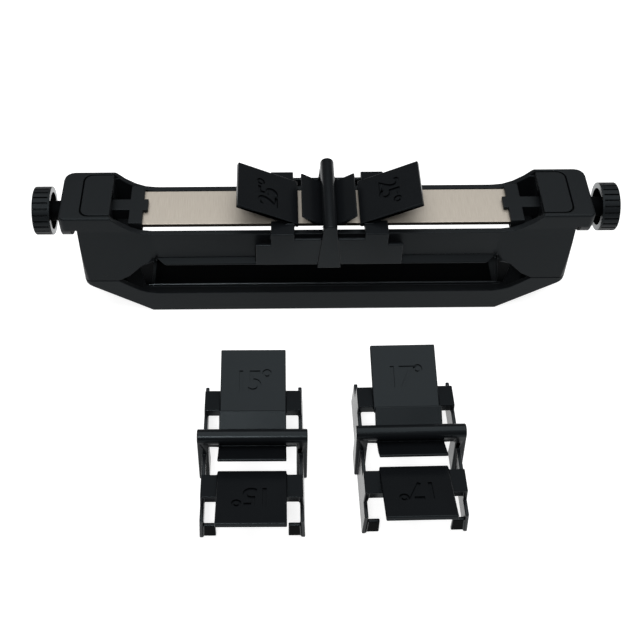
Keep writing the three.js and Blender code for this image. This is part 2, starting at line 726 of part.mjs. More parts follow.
// Rubber pad
function padPlan(growth) {
  const radius = PAD_CORNER_RADIUS + growth;
  const endX = END_X + PAD_END_X + growth;
  const half = BODY_HALF_WIDTH - PAD_MARGIN + growth;
  return mirroredOutline(roundedEnd(endX, half, radius).slice(1, -1));
}

function nonSlipPad() {
  return alongZ(padPlan(0), 0, PAD_THICKNESS);
}

// Abrasive plate
function sharpeningPlate() {
  const halfWidth = PLATE_WIDTH / 2;
  const bottom = PLATE_TOP - PLATE_THICKNESS;
  return box([-END_X, END_X], [-halfWidth, halfWidth], [bottom, PLATE_TOP]);
}

// Jaws
function clampJaw() {
  const height = [CROSSBAR_BOTTOM, CROSSBAR_TOP];
  const crossbar = box(
    [CROSSBAR_INNER_X, CROSSBAR_OUTER_X],
    [-CROSSBAR_HALF_WIDTH, CROSSBAR_HALF_WIDTH],
    height,
  );
  const tab = box(
    [TAB_INNER_X, CROSSBAR_OUTER_X],
    [-TAB_HALF_WIDTH, TAB_HALF_WIDTH],
    [PLATE_TOP + GAP, CROSSBAR_TOP],
  );
  const stem = box(
    [CROSSBAR_INNER_X, CLIP_POCKET_INNER_X],
    [-STEM_HALF_WIDTH, STEM_HALF_WIDTH],
    height,
  );
  const block = box(
    [BLOCK_INNER_X, BLOCK_OUTER_X],
    [-BLOCK_HALF_WIDTH, BLOCK_HALF_WIDTH],
    [BLOCK_BOTTOM, BLOCK_TOP],
  );
  const slotHalf = PLATE_WIDTH / 2 + GAP;
  const plateSlot = box(
    [CROSSBAR_INNER_X - OVERRUN, GAP],
    [-slotHalf, slotHalf],
    [PLATE_TOP - PLATE_THICKNESS - GAP, PLATE_TOP + GAP],
  );
  const clipPocket = box(
    [CLIP_POCKET_INNER_X, CLIP_POCKET_OUTER_X],
    [-CLIP_POCKET_HALF_WIDTH, CLIP_POCKET_HALF_WIDTH],
    [CLIP_POCKET_BOTTOM, BLOCK_TOP + OVERRUN],
  );
  const hole = rod(SCREW_TIP_RADIUS + GAP, CLIP_POCKET_INNER_X, BLOCK_OUTER_X + OVERRUN, COARSE);
  const body = crossbar.add(tab).add(stem).add(block);
  return body.subtract(plateSlot).subtract(clipPocket).subtract(hole);
}

// Clamp screws, clips and inserts
function clampScrew() {
  const thread = rod(SCREW_RADIUS, SCREW_SHOULDER_X, SCREW_HEX_X, COARSE);
  const hex = rod(SCREW_RADIUS, SCREW_HEX_X - WELD, SCREW_END_X, HEX);
  const tip = rod(SCREW_TIP_RADIUS, GROOVE_OUTER_X, SCREW_SHOULDER_X + WELD, COARSE);
  const neck = rod(GROOVE_RADIUS, SCREW_TIP_X + WELD / 2, GROOVE_OUTER_X + WELD, COARSE);
  const button = rod(SCREW_TIP_RADIUS, SCREW_TIP_X, GROOVE_INNER_X, COARSE);
  return thread.add(hex).add(tip).add(neck).add(button);
}

function screwClip() {
  const outerX = CLIP_INNER_X + CLIP_THICKNESS;
  const ring = rod(CLIP_RADIUS, CLIP_INNER_X, outerX, COARSE);
  const hole = rod(GROOVE_RADIUS + GAP, CLIP_INNER_X - OVERRUN, outerX + OVERRUN, COARSE);
  const mouth = box(
    [CLIP_INNER_X - OVERRUN, outerX + OVERRUN],
    [-CLIP_MOUTH_HALF_WIDTH, CLIP_MOUTH_HALF_WIDTH],
    [AXIS_HEIGHT - CLIP_RADIUS - OVERRUN, AXIS_HEIGHT],
  );
  return ring.subtract(hole).subtract(mouth);
}

function threadedInsert() {
  const middle = (INSERT_INNER_X + INSERT_OUTER_X) / 2;
  const sleeve = rod(INSERT_RADIUS, INSERT_INNER_X, INSERT_OUTER_X, COARSE);
  const width = INSERT_GROOVE_WIDTH / 2;
  const groove = rod(INSERT_RADIUS + OVERRUN, middle - width, middle + width, COARSE).subtract(
    rod(INSERT_RADIUS - INSERT_GROOVE_DEPTH, middle - OVERRUN, middle + OVERRUN, COARSE),
  );
  const hole = rod(
    SCREW_RADIUS + GAP,
    INSERT_INNER_X - OVERRUN,
    INSERT_OUTER_X + OVERRUN,
    COARSE,
  );
  return sleeve.subtract(groove).subtract(hole);
}

// Knobs
function knobSection() {
  const root = KNOB_RADIUS - KNOB_RIB_DEPTH;
  const ribShares = [[0.08, root], [0.24, KNOB_RADIUS], [0.76, KNOB_RADIUS], [0.92, root]];
  const points = [];
  for (let rib = 0; rib < KNOB_RIB_COUNT; rib += 1) {
    for (const [share, radius] of ribShares) {
      const angle = ((rib + share) / KNOB_RIB_COUNT) * 2 * Math.PI;
      points.push([radius * Math.cos(angle), AXIS_HEIGHT + radius * Math.sin(angle)]);
    }
  }
  return points;
}

function clampKnob() {
  const ribEndX = KNOB_OUTER_X - KNOB_FACE_THICKNESS;
  const rim = rod(KNOB_RADIUS, KNOB_INNER_X, KNOB_RIB_X, KNOB_RIB_COUNT * 2);
  const ribs = alongX(knobSection(), KNOB_RIB_X - WELD, ribEndX);
  const face = rod(KNOB_FACE_RADIUS, ribEndX - WELD, KNOB_OUTER_X, FINE);
  const cup = rod(KNOB_CUP_RADIUS, KNOB_INNER_X - OVERRUN, KNOB_CUP_END_X, FINE);
  const hub = rod(HUB_RADIUS, HUB_INNER_X, KNOB_CUP_END_X + WELD, COARSE);
  const socket = rod(SCREW_RADIUS + GAP, SCREW_HEX_X - GAP, SCREW_END_X + GAP, HEX);
  const bore = rod(SCREW_RADIUS + GAP, HUB_INNER_X - OVERRUN, SCREW_HEX_X + GAP, COARSE);
  return rim.add(ribs).add(face).subtract(cup).add(hub).subtract(socket).subtract(bore);
}

// Tray screws
function trayScrew() {
  const headTop = TRAY_SCREW_SEAT_Z - GAP;
  const headBottom = headTop - TRAY_SCREW_HEAD_THICKNESS;
  const shank = pin(0, 0, TRAY_SCREW_RADIUS, headBottom + WELD, TRAY_SCREW_TIP_Z, COARSE);
  const head = pin(0, 0, TRAY_SCREW_HEAD_RADIUS, headBottom, headTop, COARSE);
  const recess = pin(
    0,
    0,
    TRAY_SCREW_RECESS_RADIUS,
    headBottom - OVERRUN,
    headBottom + TRAY_SCREW_RECESS_DEPTH,
    HEX,
  );
  return shank.add(head).subtract(recess);
}

// Numbers: strokes as shares of a digit's width and height
const STROKE_SHARES = {
  1: [[[0.15, 0.8], [0.6, 1], [0.6, 0]]],
  2: [[[0, 0.8], [0.2, 0.96], [0.5, 1], [0.85, 0.94], [1, 0.74], [0.85, 0.5], [0, 0], [1, 0]]],
  5: [
    [[0.95, 1], [0.15, 1], [0.05, 0.54], [0.45, 0.64], [0.85, 0.52], [1, 0.3], [0.85, 0.09]],
    [[0.85, 0.09], [0.5, 0], [0, 0.09]],
  ],
  7: [[[0, 1], [1, 1], [0.35, 0]]],
};

function stroke([a0, b0], [a1, b1], from, to) {
  const length = Math.hypot(a1 - a0, b1 - b0);
  const reach = DIGIT_STROKE / 2;
  const [da, db] = [((a1 - a0) / length) * reach, ((b1 - b0) / length) * reach];
  const corners = [
    [a0 - da + db, b0 - db - da],
    [a1 + da + db, b1 + db - da],
    [a1 + da - db, b1 + db + da],
    [a0 - da - db, b0 - db + da],
  ];
  return alongZ(corners, from, to);
}

function numberCut(text) {
  const parts = [];
  [...text].forEach((digit, place) => {
    const left = (place - 1) * DIGIT_SPACING - DIGIT_WIDTH / 2;
    for (const line of STROKE_SHARES[digit]) {
      const points = line.map(([a, b]) => [
        left + a * DIGIT_WIDTH,
        (b - 1 / 2) * DIGIT_HEIGHT,
      ]);
      points.slice(1).forEach((end, i) => {
        parts.push(stroke(points[i], end, -DIGIT_DEPTH, OVERRUN));
      });
    }
  });
  const a = DIGIT_SPACING;
  const b = DIGIT_HEIGHT / 2;
  const ring = pin(a, b, DEGREE_OUTER_RADIUS, -DIGIT_DEPTH, OVERRUN, SMALL);
  const coreRadius = DEGREE_OUTER_RADIUS - DEGREE_LINE;
  const core = pin(a, b, coreRadius, -OVERRUN, 2 * OVERRUN, SMALL);
  parts.push(ring.subtract(core));
  return parts.reduce((all, part) => all.add(part));
}

// Angle guides
function guideWall() {
  const outline = mirroredOutline([
    [GUIDE_HALF_LENGTH, 0],
    [GUIDE_HALF_LENGTH, GUIDE_END_HEIGHT],
    [ARM_OUTER_U, GUIDE_END_HEIGHT],
    [ARM_OUTER_U, ARM_TOP_W],
    [ARM_INNER_U, ARM_TOP_W],
    [ARM_INNER_U, GUIDE_MID_HEIGHT],
  ]);
  return alongY(outline, GUIDE_WALL_HALF_WIDTH - GUIDE_WALL, GUIDE_WALL_HALF_WIDTH);
}

function guideFlange() {
  return box(
    [GUIDE_HALF_LENGTH - FLANGE_LENGTH, GUIDE_HALF_LENGTH],
    [FLANGE_INNER_V, GUIDE_WALL_HALF_WIDTH - GUIDE_WALL + WELD],
    [FLANGE_BOTTOM_W, FLANGE_TOP_W],
  );
}

function guideArm() {
  return box(
    [ARM_INNER_U, ARM_OUTER_U],
    [ARM_INNER_V, GUIDE_WALL_HALF_WIDTH - GUIDE_WALL + WELD],
    [ARM_BOTTOM_W, ARM_TOP_W],
  );
}

function guideWing(angle) {
  const slope = THREE.MathUtils.degToRad(angle);
  const tipU = WING_START_U + WING_LENGTH * Math.cos(slope);
  const tipW = WING_START_W + WING_LENGTH * Math.sin(slope);
  const underU = tipU + WING_THICKNESS * Math.sin(slope);
  const underW = tipW - WING_THICKNESS * Math.cos(slope);
  const creaseU = underU - (underW - WING_UNDERSIDE_W) / Math.tan(slope);
  const outline = [
    [WING_START_U, WING_UNDERSIDE_W],
    [creaseU, WING_UNDERSIDE_W],
    [underU, underW],
    [tipU, tipW],
    [WING_START_U + WING_NOSE, WING_START_W + WING_NOSE * Math.tan(slope)],
    [WING_START_U, WING_START_W - WING_NOSE / 2],
  ];
  return alongY(outline, -WING_HALF_WIDTH, WING_HALF_WIDTH);
}

function wingNumber(angle) {
  const slope = THREE.MathUtils.degToRad(angle);
  const u = WING_START_U + DIGIT_DISTANCE * Math.cos(slope);
  const w = WING_START_W + DIGIT_DISTANCE * Math.sin(slope);
  return numberCut(String(angle)).rotate([0, 0, -90]).rotate([0, -angle, 0]).translate([u, 0, w]);
}

function smallWing() {
  const length = Math.hypot(SMALL_TIP_U - SMALL_MID_U, SMALL_TIP_W - SMALL_MID_W);
  const du = ((SMALL_TIP_W - SMALL_MID_W) / length) * SMALL_THICKNESS;
  const dw = ((SMALL_TIP_U - SMALL_MID_U) / length) * SMALL_THICKNESS;
  const outline = [
    [SMALL_ROOT_U, SMALL_ROOT_W],
    [SMALL_MID_U + du, SMALL_MID_W - dw],
    [SMALL_TIP_U + du / 2, SMALL_TIP_W - dw / 2],
    [SMALL_TIP_U, SMALL_TIP_W],
    [SMALL_MID_U, SMALL_MID_W],
    [SMALL_ROOT_U, SMALL_ROOT_W + SMALL_THICKNESS / 2],
  ];
  return alongY(outline, -WING_HALF_WIDTH, WING_HALF_WIDTH);
}

function guideBar() {
  const shoulder = BAR_TOP_W - BAR_TOP_ROUND;
  const outline = mirroredOutline([
    [LEG_FOOT_HALF_THICKNESS, 0],
    [BAR_HALF_THICKNESS, shoulder],
    [BAR_HALF_THICKNESS - BAR_TOP_ROUND / 2, BAR_TOP_W - BAR_TOP_ROUND / 4],
    [BAR_HALF_THICKNESS - BAR_TOP_ROUND, BAR_TOP_W],
  ]);
  const whole = alongY(outline, -BAR_HALF_LENGTH, BAR_HALF_LENGTH);
  const under = box(
    [-LEG_FOOT_HALF_THICKNESS - OVERRUN, LEG_FOOT_HALF_THICKNESS + OVERRUN],
    [-BODY_HALF_WIDTH, BODY_HALF_WIDTH],
    [-OVERRUN, WING_UNDERSIDE_W],
  );
  const end = BAR_HALF_LENGTH;
  const silhouette = alongX(
    mirroredOutline([
      [end, 0],
      [end, BAR_TOP_W - BAR_END_CHAMFER],
      [end - BAR_END_CHAMFER, BAR_TOP_W],
    ]),
    -LEG_FOOT_HALF_THICKNESS - OVERRUN,
    LEG_FOOT_HALF_THICKNESS + OVERRUN,
  );
  return whole.subtract(under).intersect(silhouette);
}

function angleGuide(angle) {
  const sides = guideWall().add(both(guideFlange())).add(both(guideArm()));
  const wings = both(guideWing(angle)).add(both(smallWing()));
  const number = wingNumber(angle);
  const numbers = number.add(number.rotate([0, 0, 180]));
  const body = sides.add(sides.mirror([0, 1, 0])).add(wings).add(guideBar());
  return body.subtract(numbers);
}

// Assembly
const part = new THREE.Group();

function place(name, finish, shape) {
  const mesh = shape.getMesh();
  const geometry = new THREE.BufferGeometry();
  geometry.setAttribute("position", new THREE.BufferAttribute(mesh.vertProperties, 3));
  geometry.setIndex(new THREE.BufferAttribute(mesh.triVerts, 1));
  geometry.computeVertexNormals();
  const piece = new THREE.Mesh(geometry, new THREE.MeshStandardMaterial(FINISHES[finish]));
  piece.name = name;
  part.add(piece);
}

place("base_tray", "plastic", baseTray());
place("upper_frame", "plastic", upperFrame());
place("non_slip_pad", "rubber", nonSlipPad());
place("sharpening_plate", "plate", sharpeningPlate());

for (const [side, flip] of [["left", true], ["right", false]]) {
  const set = (shape) => (flip ? atEnd(shape).mirror([1, 0, 0]) : atEnd(shape));
  place(`${side}_tower_cap`, "plastic", set(towerCap()));
  place(`${side}_clamp_jaw`, "plastic", set(clampJaw()));
  place(`${side}_clamp_screw`, "screw", set(clampScrew()));
  place(`${side}_screw_clip`, "zinc", set(screwClip()));
  place(`${side}_threaded_insert`, "brass", set(threadedInsert()));
  place(`${side}_knob`, "plastic", set(clampKnob()));
  for (const [row, y] of [["front", -TRAY_SCREW_Y], ["back", TRAY_SCREW_Y]]) {
    const x = (flip ? -1 : 1) * (END_X + TRAY_SCREW_X);
    place(`${row}_${side}_tray_screw`, "zinc", trayScrew().translate([x, y, 0]));
  }
}

place("guide_25", "guide", angleGuide(25).translate([GUIDE_X, 0, GUIDE_SEAT_Z]));
for (const [angle, spot] of [[15, LOOSE_15], [17, LOOSE_17]]) {
  const turned = angleGuide(angle).rotate([0, 0, spot.turn]);
  place(`guide_${angle}`, "guide", turned.translate([spot.x, spot.y, 0]));
}

export default part;
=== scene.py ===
# %% [markdown]
# # A bench knife sharpener
#
# The real object is a black moulded stand that holds an abrasive plate between two
# screw jaws. A plastic guide sits astride the plate and gives the knife its angle,
# and two more guides lie in front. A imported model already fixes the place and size
# of every piece, so we load it first and then model each piece over its solid.

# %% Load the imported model
import json
import math

import bpy
from mathutils import Matrix, Vector
from mathutils.bvhtree import BVHTree


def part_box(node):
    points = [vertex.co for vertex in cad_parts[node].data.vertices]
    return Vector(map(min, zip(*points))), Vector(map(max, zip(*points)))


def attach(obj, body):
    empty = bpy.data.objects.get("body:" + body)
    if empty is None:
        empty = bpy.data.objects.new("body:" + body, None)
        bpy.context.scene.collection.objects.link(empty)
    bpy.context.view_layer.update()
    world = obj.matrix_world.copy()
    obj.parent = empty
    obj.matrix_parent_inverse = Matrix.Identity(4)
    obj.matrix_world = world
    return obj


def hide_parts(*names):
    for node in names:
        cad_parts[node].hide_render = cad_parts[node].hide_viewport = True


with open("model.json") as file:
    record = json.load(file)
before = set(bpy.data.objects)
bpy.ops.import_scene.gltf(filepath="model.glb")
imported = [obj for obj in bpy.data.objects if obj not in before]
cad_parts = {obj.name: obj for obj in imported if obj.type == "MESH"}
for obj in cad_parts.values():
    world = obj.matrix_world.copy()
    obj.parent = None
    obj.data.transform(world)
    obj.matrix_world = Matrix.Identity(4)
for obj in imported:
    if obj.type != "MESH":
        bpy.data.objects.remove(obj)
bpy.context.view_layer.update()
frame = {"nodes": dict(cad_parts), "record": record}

nodes = frame["nodes"]

# %% [markdown]
# ## Millimetres
#
# Blender works in metres here, and small hard goods are measured in millimetres.
# One factor, written once, lets every later size read as it would on a drawing.

# %% Units
MM = 0.001


def mm(*sizes):
    """Sizes in millimetres as a vector in metres."""
    return Vector(sizes) * MM


print("one millimetre is", MM, "of Blender's metres")

# %% [markdown]
# ## The camera
#
# The picture was taken from in front and above, with a long lens. A long lens
# keeps the far end of a narrow object nearly as large as the near end. The shift
# slides the frame over the picture without turning the camera.

# %% Camera
CAMERA_PLACE = mm(-20.59, -333.99, 370.02)
CAMERA_TURN = (42.473, 0.0415, -0.5836)
CAMERA_LENS = 63.44
CAMERA_SHIFT = (0.0573, -0.0735)
NEAREST_SEEN = 10 * MM

bpy.ops.object.select_all(action="DESELECT")
bpy.ops.object.camera_add(
    location=CAMERA_PLACE, rotation=[math.radians(angle) for angle in CAMERA_TURN]
)
camera = bpy.context.object
camera.data.lens = CAMERA_LENS
camera.data.shift_x, camera.data.shift_y = CAMERA_SHIFT
camera.data.clip_start = NEAREST_SEEN
bpy.context.scene.camera = camera
bpy.context.scene.view_settings.view_transform = "Standard"
print("camera", round(CAMERA_PLACE.length, 3), "m from the origin")

# %% [markdown]
# ## Nodes, wired by hand
#
# Every finish below is a small tree of nodes. Two helpers keep the wiring short:
# one adds a node with its settings, the other starts a material and finds the
# shader that all its nodes lead to.

# %% Node helpers


def add_node(tree, kind, **inputs):
    """Adds a node and sets its inputs by name, with _ for a space."""
    node = tree.nodes.new("ShaderNode" + kind)
    for name, value in inputs.items():
        node.inputs[name.replace("_", " ")].default_value = value
    return node


def new_finish(name):
    """An empty material, its tree and its main shader."""
    material = bpy.data.materials.new(name)
    material.use_nodes = True
    return material, material.node_tree, material.node_tree.nodes["Principled BSDF"]


print("node helpers ready")

# %% [markdown]
# ## The floor
#
# A product picture is taken on a white sweep. The floor keeps the object's soft
# shadow. It also glows, but only for rays that come from the camera, from a glossy
# face or through glass, so it comes out white without more light on the object.

# %% Floor
FLOOR_SIZE = 6.0
FLOOR_DEPTH = 0.4 * MM
FLOOR_COLOR = (0.45, 0.45, 0.45, 1)
FLOOR_ROUGHNESS = 0.9
FLOOR_GLOW = 0.8


def white_floor():
    """A floor that looks white, with the shadows kept."""
    material, tree, shader = new_finish("white_floor")
    shader.inputs["Base Color"].default_value = FLOOR_COLOR
    shader.inputs["Roughness"].default_value = FLOOR_ROUGHNESS
    shader.inputs["Specular IOR Level"].default_value = 0
    shader.inputs["Emission Color"].default_value = (1, 1, 1, 1)
    rays = add_node(tree, "LightPath")
    seen = rays.outputs["Is Camera Ray"]
    for kind in ("Is Glossy Ray", "Is Transmission Ray"):
        either = add_node(tree, "Math")
        either.operation = "MAXIMUM"
        tree.links.new(seen, either.inputs[0])
        tree.links.new(rays.outputs[kind], either.inputs[1])
        seen = either.outputs[0]
    glow = add_node(tree, "Math")
    glow.operation = "MULTIPLY"
    glow.inputs[1].default_value = FLOOR_GLOW
    tree.links.new(seen, glow.inputs[0])
    tree.links.new(glow.outputs[0], shader.inputs["Emission Strength"])
    return material


bpy.ops.object.select_all(action="DESELECT")
bpy.ops.mesh.primitive_plane_add(size=FLOOR_SIZE, location=(0, 0, -FLOOR_DEPTH))
floor = bpy.context.object
floor.name = "floor"
floor.data.materials.append(white_floor())
print("floor", FLOOR_SIZE, "m wide")

# %% [markdown]
# ## The lamps
#
# Black plastic shows hardly any colour of its own: what we see is the lamps that
# it mirrors. One large soft box hangs above and behind, where the flat tops mirror
# it. A small key lamp beside the camera draws the bright line along each rounded
# edge, and a weak fill keeps the right side from going black. Each lamp is turned
# by a tracking rotation, so that it faces the origin.

# %% Lamps
LAMPS = (
    ("top_lamp", (0.0, 0.14, 1.15), 1.5, 17.0),
    ("key_lamp", (-0.15, -0.75, 1.0), 0.22, 4.5),
    ("fill_lamp", (0.8, -0.4, 0.8), 0.9, 1.5),
)

for lamp_name, lamp_place, lamp_size, lamp_power in LAMPS:
    bpy.ops.object.light_add(type="AREA", location=lamp_place)
    lamp = bpy.context.object
    lamp.name = lamp_name
    lamp.data.size = lamp_size
    lamp.data.energy = lamp_power
    lamp.rotation_euler = (-lamp.location).to_track_quat("-Z", "Y").to_euler()
print(len(LAMPS), "lamps")

# %% [markdown]
# ## The world
#
# The room round a studio table is darker than its lamps. The camera sees it white,
# as it sees the floor, but the object gets only a little light from it.

# %% World
WORLD_LIGHT = 0.22

world = bpy.data.worlds.new("studio")
world.use_nodes = True
bpy.context.scene.world = world
sky = world.node_tree.nodes["Background"]
sky.inputs["Color"].default_value = (1, 1, 1, 1)
sky_rays = add_node(world.node_tree, "LightPath")
sky_level = add_node(world.node_tree, "MapRange", To_Min=WORLD_LIGHT, To_Max=1.0)
world.node_tree.links.new(sky_rays.outputs["Is Camera Ray"], sky_level.inputs["Value"])
world.node_tree.links.new(sky_level.outputs["Result"], sky.inputs["Strength"])
print("world light", WORLD_LIGHT)

# %% [markdown]
# ## Moulded plastic
#
# The stand and the guides are injection moulded in black plastic. The mould is
# lightly blasted, so the surface has a fine grain that spreads its reflections.
# One noise makes the grain as a bump, and a slower one varies the roughness and
# the colour a little, as handling and the flow of the melt do.

# %% Grain and mottle


def grain(tree, shader, scale, depth, strength):
    """A fine bump from noise in the piece's own space, its depth in millimetres."""
    place = add_node(tree, "TexCoord")
    noise = add_node(tree, "TexNoise", Scale=scale, Detail=3.0)
    bump = add_node(tree, "Bump", Strength=strength, Distance=depth * MM)
    tree.links.new(place.outputs["Object"], noise.inputs["Vector"])
    tree.links.new(noise.outputs["Fac"], bump.inputs["Height"])
    tree.links.new(bump.outputs["Normal"], shader.inputs["Normal"])
    return place


def mottle(tree, shader, place, scale, colors, roughness):
    """A slow drift of colour and roughness between two values each."""
    noise = add_node(tree, "TexNoise", Scale=scale, Detail=4.0)
    tree.links.new(place.outputs["Object"], noise.inputs["Vector"])
    mix = add_node(tree, "Mix")
    mix.data_type = "RGBA"
    mix.inputs[6].default_value = (*colors[0], 1)
    mix.inputs[7].default_value = (*colors[1], 1)
    tree.links.new(noise.outputs["Fac"], mix.inputs["Factor"])
    tree.links.new(mix.outputs[2], shader.inputs["Base Color"])
    spread = add_node(tree, "MapRange", To_Min=roughness[0], To_Max=roughness[1])
    tree.links.new(noise.outputs["Fac"], spread.inputs["Value"])
    tree.links.new(spread.outputs["Result"], shader.inputs["Roughness"])


print("grain and mottle ready")

# %% [markdown]
# ## Five looks of one plastic
#
# Gloss tells the black parts apart more than colour does. The guides are shinier
# than the stand, and the tops of their arms are matt. The rings inside the knobs
# and the bead on the tray's lip look polished. Deep places, where shade falls, get
# painted shade: a dull colour far darker than the plastic. Each look is a row: two
# colours, two roughnesses, and how strongly it mirrors.

# %% Plastics
SHEEN_TINT = (0.8, 0.94, 1.0, 1)
STAND_COLORS = ((0.0034, 0.0038, 0.0044), (0.0044, 0.0049, 0.0056))
GUIDE_COLORS = ((0.0032, 0.0037, 0.0044), (0.0042, 0.0048, 0.0057))
# Painted shade: near-black colours for deep places, far darker than the plastic.
PAINTED_SHADE_COLORS = ((0.0006, 0.0007, 0.0008), (0.001, 0.0011, 0.0013))
PLASTICS = {
    "black_plastic": (STAND_COLORS, (0.4, 0.48), 0.13),
    "guide_plastic": (GUIDE_COLORS, (0.21, 0.28), 0.135),
    "polished_plastic": (STAND_COLORS, (0.16, 0.22), 0.6),
    # The next row is painted shade, dull and near-black, for deep places.
    "painted_shade_plastic": (PAINTED_SHADE_COLORS, (0.6, 0.7), 0.03),
    "matt_plastic": (GUIDE_COLORS, (0.4, 0.48), 0.05),
}


def moulded_plastic(name, colors, roughness, specular):
    """Blasted black plastic, whose sheen is a little blue."""
    material, tree, shader = new_finish(name)
    shader.inputs["Specular IOR Level"].default_value = specular
    shader.inputs["Specular Tint"].default_value = SHEEN_TINT
    place = grain(tree, shader, scale=2600, depth=0.02, strength=0.35)
    mottle(tree, shader, place, scale=70, colors=colors, roughness=roughness)
    return material


finishes = {name: moulded_plastic(name, *look) for name, look in PLASTICS.items()}
print("plastics", *finishes)

# %% [markdown]
# ## The abrasive plate's finish
#
# The plate is steel with a bonded layer of fine grit. It looks like warm grey
# stone with a faint metal sheen, and grinding leaves short lines across it. Noise
# stretched across the plate by a Mapping node draws the lines, and a second, even
# noise stands for the grit itself. The narrow sides are given a near-black colour.

# %% Abrasive finish
LINE_SCALE = (3600, 140, 1)
GRIT_SCALE = 2200
GRIT_DEPTH = 0.01 * MM
GRIT_COLORS = ((0.30, 0.27, 0.23, 1), (0.43, 0.39, 0.335, 1))
GRIT_ROUGHNESS = (0.36, 0.5)
GRIT_METAL = 0.35


def abrasive():
    """Warm grey grit with fine lines across the plate."""
    material, tree, shader = new_finish("plate_steel")
    shader.inputs["Metallic"].default_value = GRIT_METAL
    place = add_node(tree, "TexCoord")
    across = add_node(tree, "Mapping", Scale=LINE_SCALE)
    lines = add_node(tree, "TexNoise", Scale=1.0, Detail=5.0)
    grit = add_node(tree, "TexNoise", Scale=GRIT_SCALE, Detail=2.0)
    tree.links.new(place.outputs["Object"], across.inputs["Vector"])
    tree.links.new(across.outputs["Vector"], lines.inputs["Vector"])
    tree.links.new(place.outputs["Object"], grit.inputs["Vector"])
    both = add_node(tree, "Math")
    both.operation = "ADD"
    tree.links.new(lines.outputs["Fac"], both.inputs[0])
    tree.links.new(grit.outputs["Fac"], both.inputs[1])
    tone = add_node(tree, "Mix")
    tone.data_type = "RGBA"
    tone.inputs[6].default_value, tone.inputs[7].default_value = GRIT_COLORS
    tree.links.new(lines.outputs["Fac"], tone.inputs["Factor"])
    tree.links.new(tone.outputs[2], shader.inputs["Base Color"])
    rough = add_node(tree, "MapRange", To_Min=GRIT_ROUGHNESS[0], To_Max=GRIT_ROUGHNESS[1])
    tree.links.new(grit.outputs["Fac"], rough.inputs["Value"])
    tree.links.new(rough.outputs["Result"], shader.inputs["Roughness"])
    bump = add_node(tree, "Bump", Strength=0.4, Distance=GRIT_DEPTH)
    tree.links.new(both.outputs[0], bump.inputs["Height"])
    tree.links.new(bump.outputs["Normal"], shader.inputs["Normal"])
    return material


print("the lines are", LINE_SCALE[0], "noise cells to the metre along the plate")

# %% Resin sides
SIDE_COLORS = ((0.010, 0.008, 0.006), (0.020, 0.016, 0.012))
SIDE_SHEEN = 0.25


def resin_side():
    """A near-black finish along the plate's narrow sides."""
    material, tree, shader = new_finish("plate_side")
    shader.inputs["Specular IOR Level"].default_value = SIDE_SHEEN
    place = grain(tree, shader, scale=1500, depth=0.02, strength=0.4)
    mottle(tree, shader, place, scale=300, colors=SIDE_COLORS, roughness=(0.4, 0.6))
    return material


finishes["plate_steel"] = abrasive()
finishes["plate_side"] = resin_side()
print("the plate has", finishes["plate_steel"].name, "and", finishes["plate_side"].name)

# %% [markdown]
# ## Turned metal and rubber
#
# The screws, clips and inserts are small turned or stamped metal parts, mostly
# out of sight. Fine noise breaks their shine as tool marks do. The pad under the
# tray is soft black rubber, rough all over, with no shine to speak of.

# %% Metal and rubber finishes
METALS = {
    "insert_brass": (((0.58, 0.43, 0.2), (0.74, 0.6, 0.34)), (0.22, 0.38)),
    "black_steel": (((0.03, 0.03, 0.033), (0.06, 0.06, 0.066)), (0.25, 0.4)),
    "zinc_steel": (((0.48, 0.49, 0.51), (0.62, 0.63, 0.66)), (0.25, 0.42)),
}
RUBBER_COLORS = ((0.013, 0.013, 0.013), (0.022, 0.022, 0.022))
RUBBER_SHEEN = 0.2


def metal(name, colors, roughness):
    """Turned or stamped metal."""
    material, tree, shader = new_finish(name)
    shader.inputs["Metallic"].default_value = 1.0
    place = grain(tree, shader, scale=1800, depth=0.01, strength=0.3)
    mottle(tree, shader, place, scale=260, colors=colors, roughness=roughness)
    return material


def rubber():
    """Matt black rubber."""
    material, tree, shader = new_finish("pad_rubber")
    shader.inputs["Specular IOR Level"].default_value = RUBBER_SHEEN
    place = grain(tree, shader, scale=900, depth=0.08, strength=0.6)
    mottle(tree, shader, place, scale=120, colors=RUBBER_COLORS, roughness=(0.8, 0.95))
    return material


for name, look in METALS.items():
    finishes[name] = metal(name, *look)
finishes["pad_rubber"] = rubber()
print(len(finishes), "finishes")

# %% [markdown]
# ## Who carries each piece
#
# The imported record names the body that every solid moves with, and its finish.
# We look both up by the solid's name, so that a new piece follows its solid.

# %% Bodies and finishes by solid
slots = {row["node"]: row["material_slot"] for row in frame["record"]["subparts"]}
bodies = {}
for body_name, members in frame["record"]["behaviour"]["bodies"].items():
    for member in members:
        bodies[member] = body_name

# %% [markdown]
# ## Selecting by place
#
# By hand you pick the next face with the mouse. A script picks it by a test on its
# place and direction, and then works on it in edit mode as a hand would. These
# helpers select pieces, faces and edges, and change between the two modes.

# %% Selecting
CLOSE = 0.001 * MM


def choose(*pieces):
    """Selects these pieces alone, in object mode, and makes the last one active."""
    if bpy.context.mode != "OBJECT":
        bpy.ops.object.mode_set(mode="OBJECT")
    bpy.ops.object.select_all(action="DESELECT")
    for piece in pieces:
        piece.select_set(True)
    bpy.context.view_layer.objects.active = pieces[-1]


def edit(piece, kind="VERT"):
    """Goes into edit mode on one piece."""
    choose(piece)
    bpy.ops.object.mode_set(mode="EDIT")
    bpy.ops.mesh.select_mode(type=kind)


def leave():
    """Goes back to object mode."""
    bpy.ops.object.mode_set(mode="OBJECT")


def pick(piece, test):
    """Selects in edit mode the faces whose middle and direction pass a test."""
    edit(piece, "FACE")
    bpy.ops.mesh.select_all(action="DESELECT")
    leave()
    for face in piece.data.polygons:
        face.select = test(face.center, face.normal)
    bpy.ops.object.mode_set(mode="EDIT")


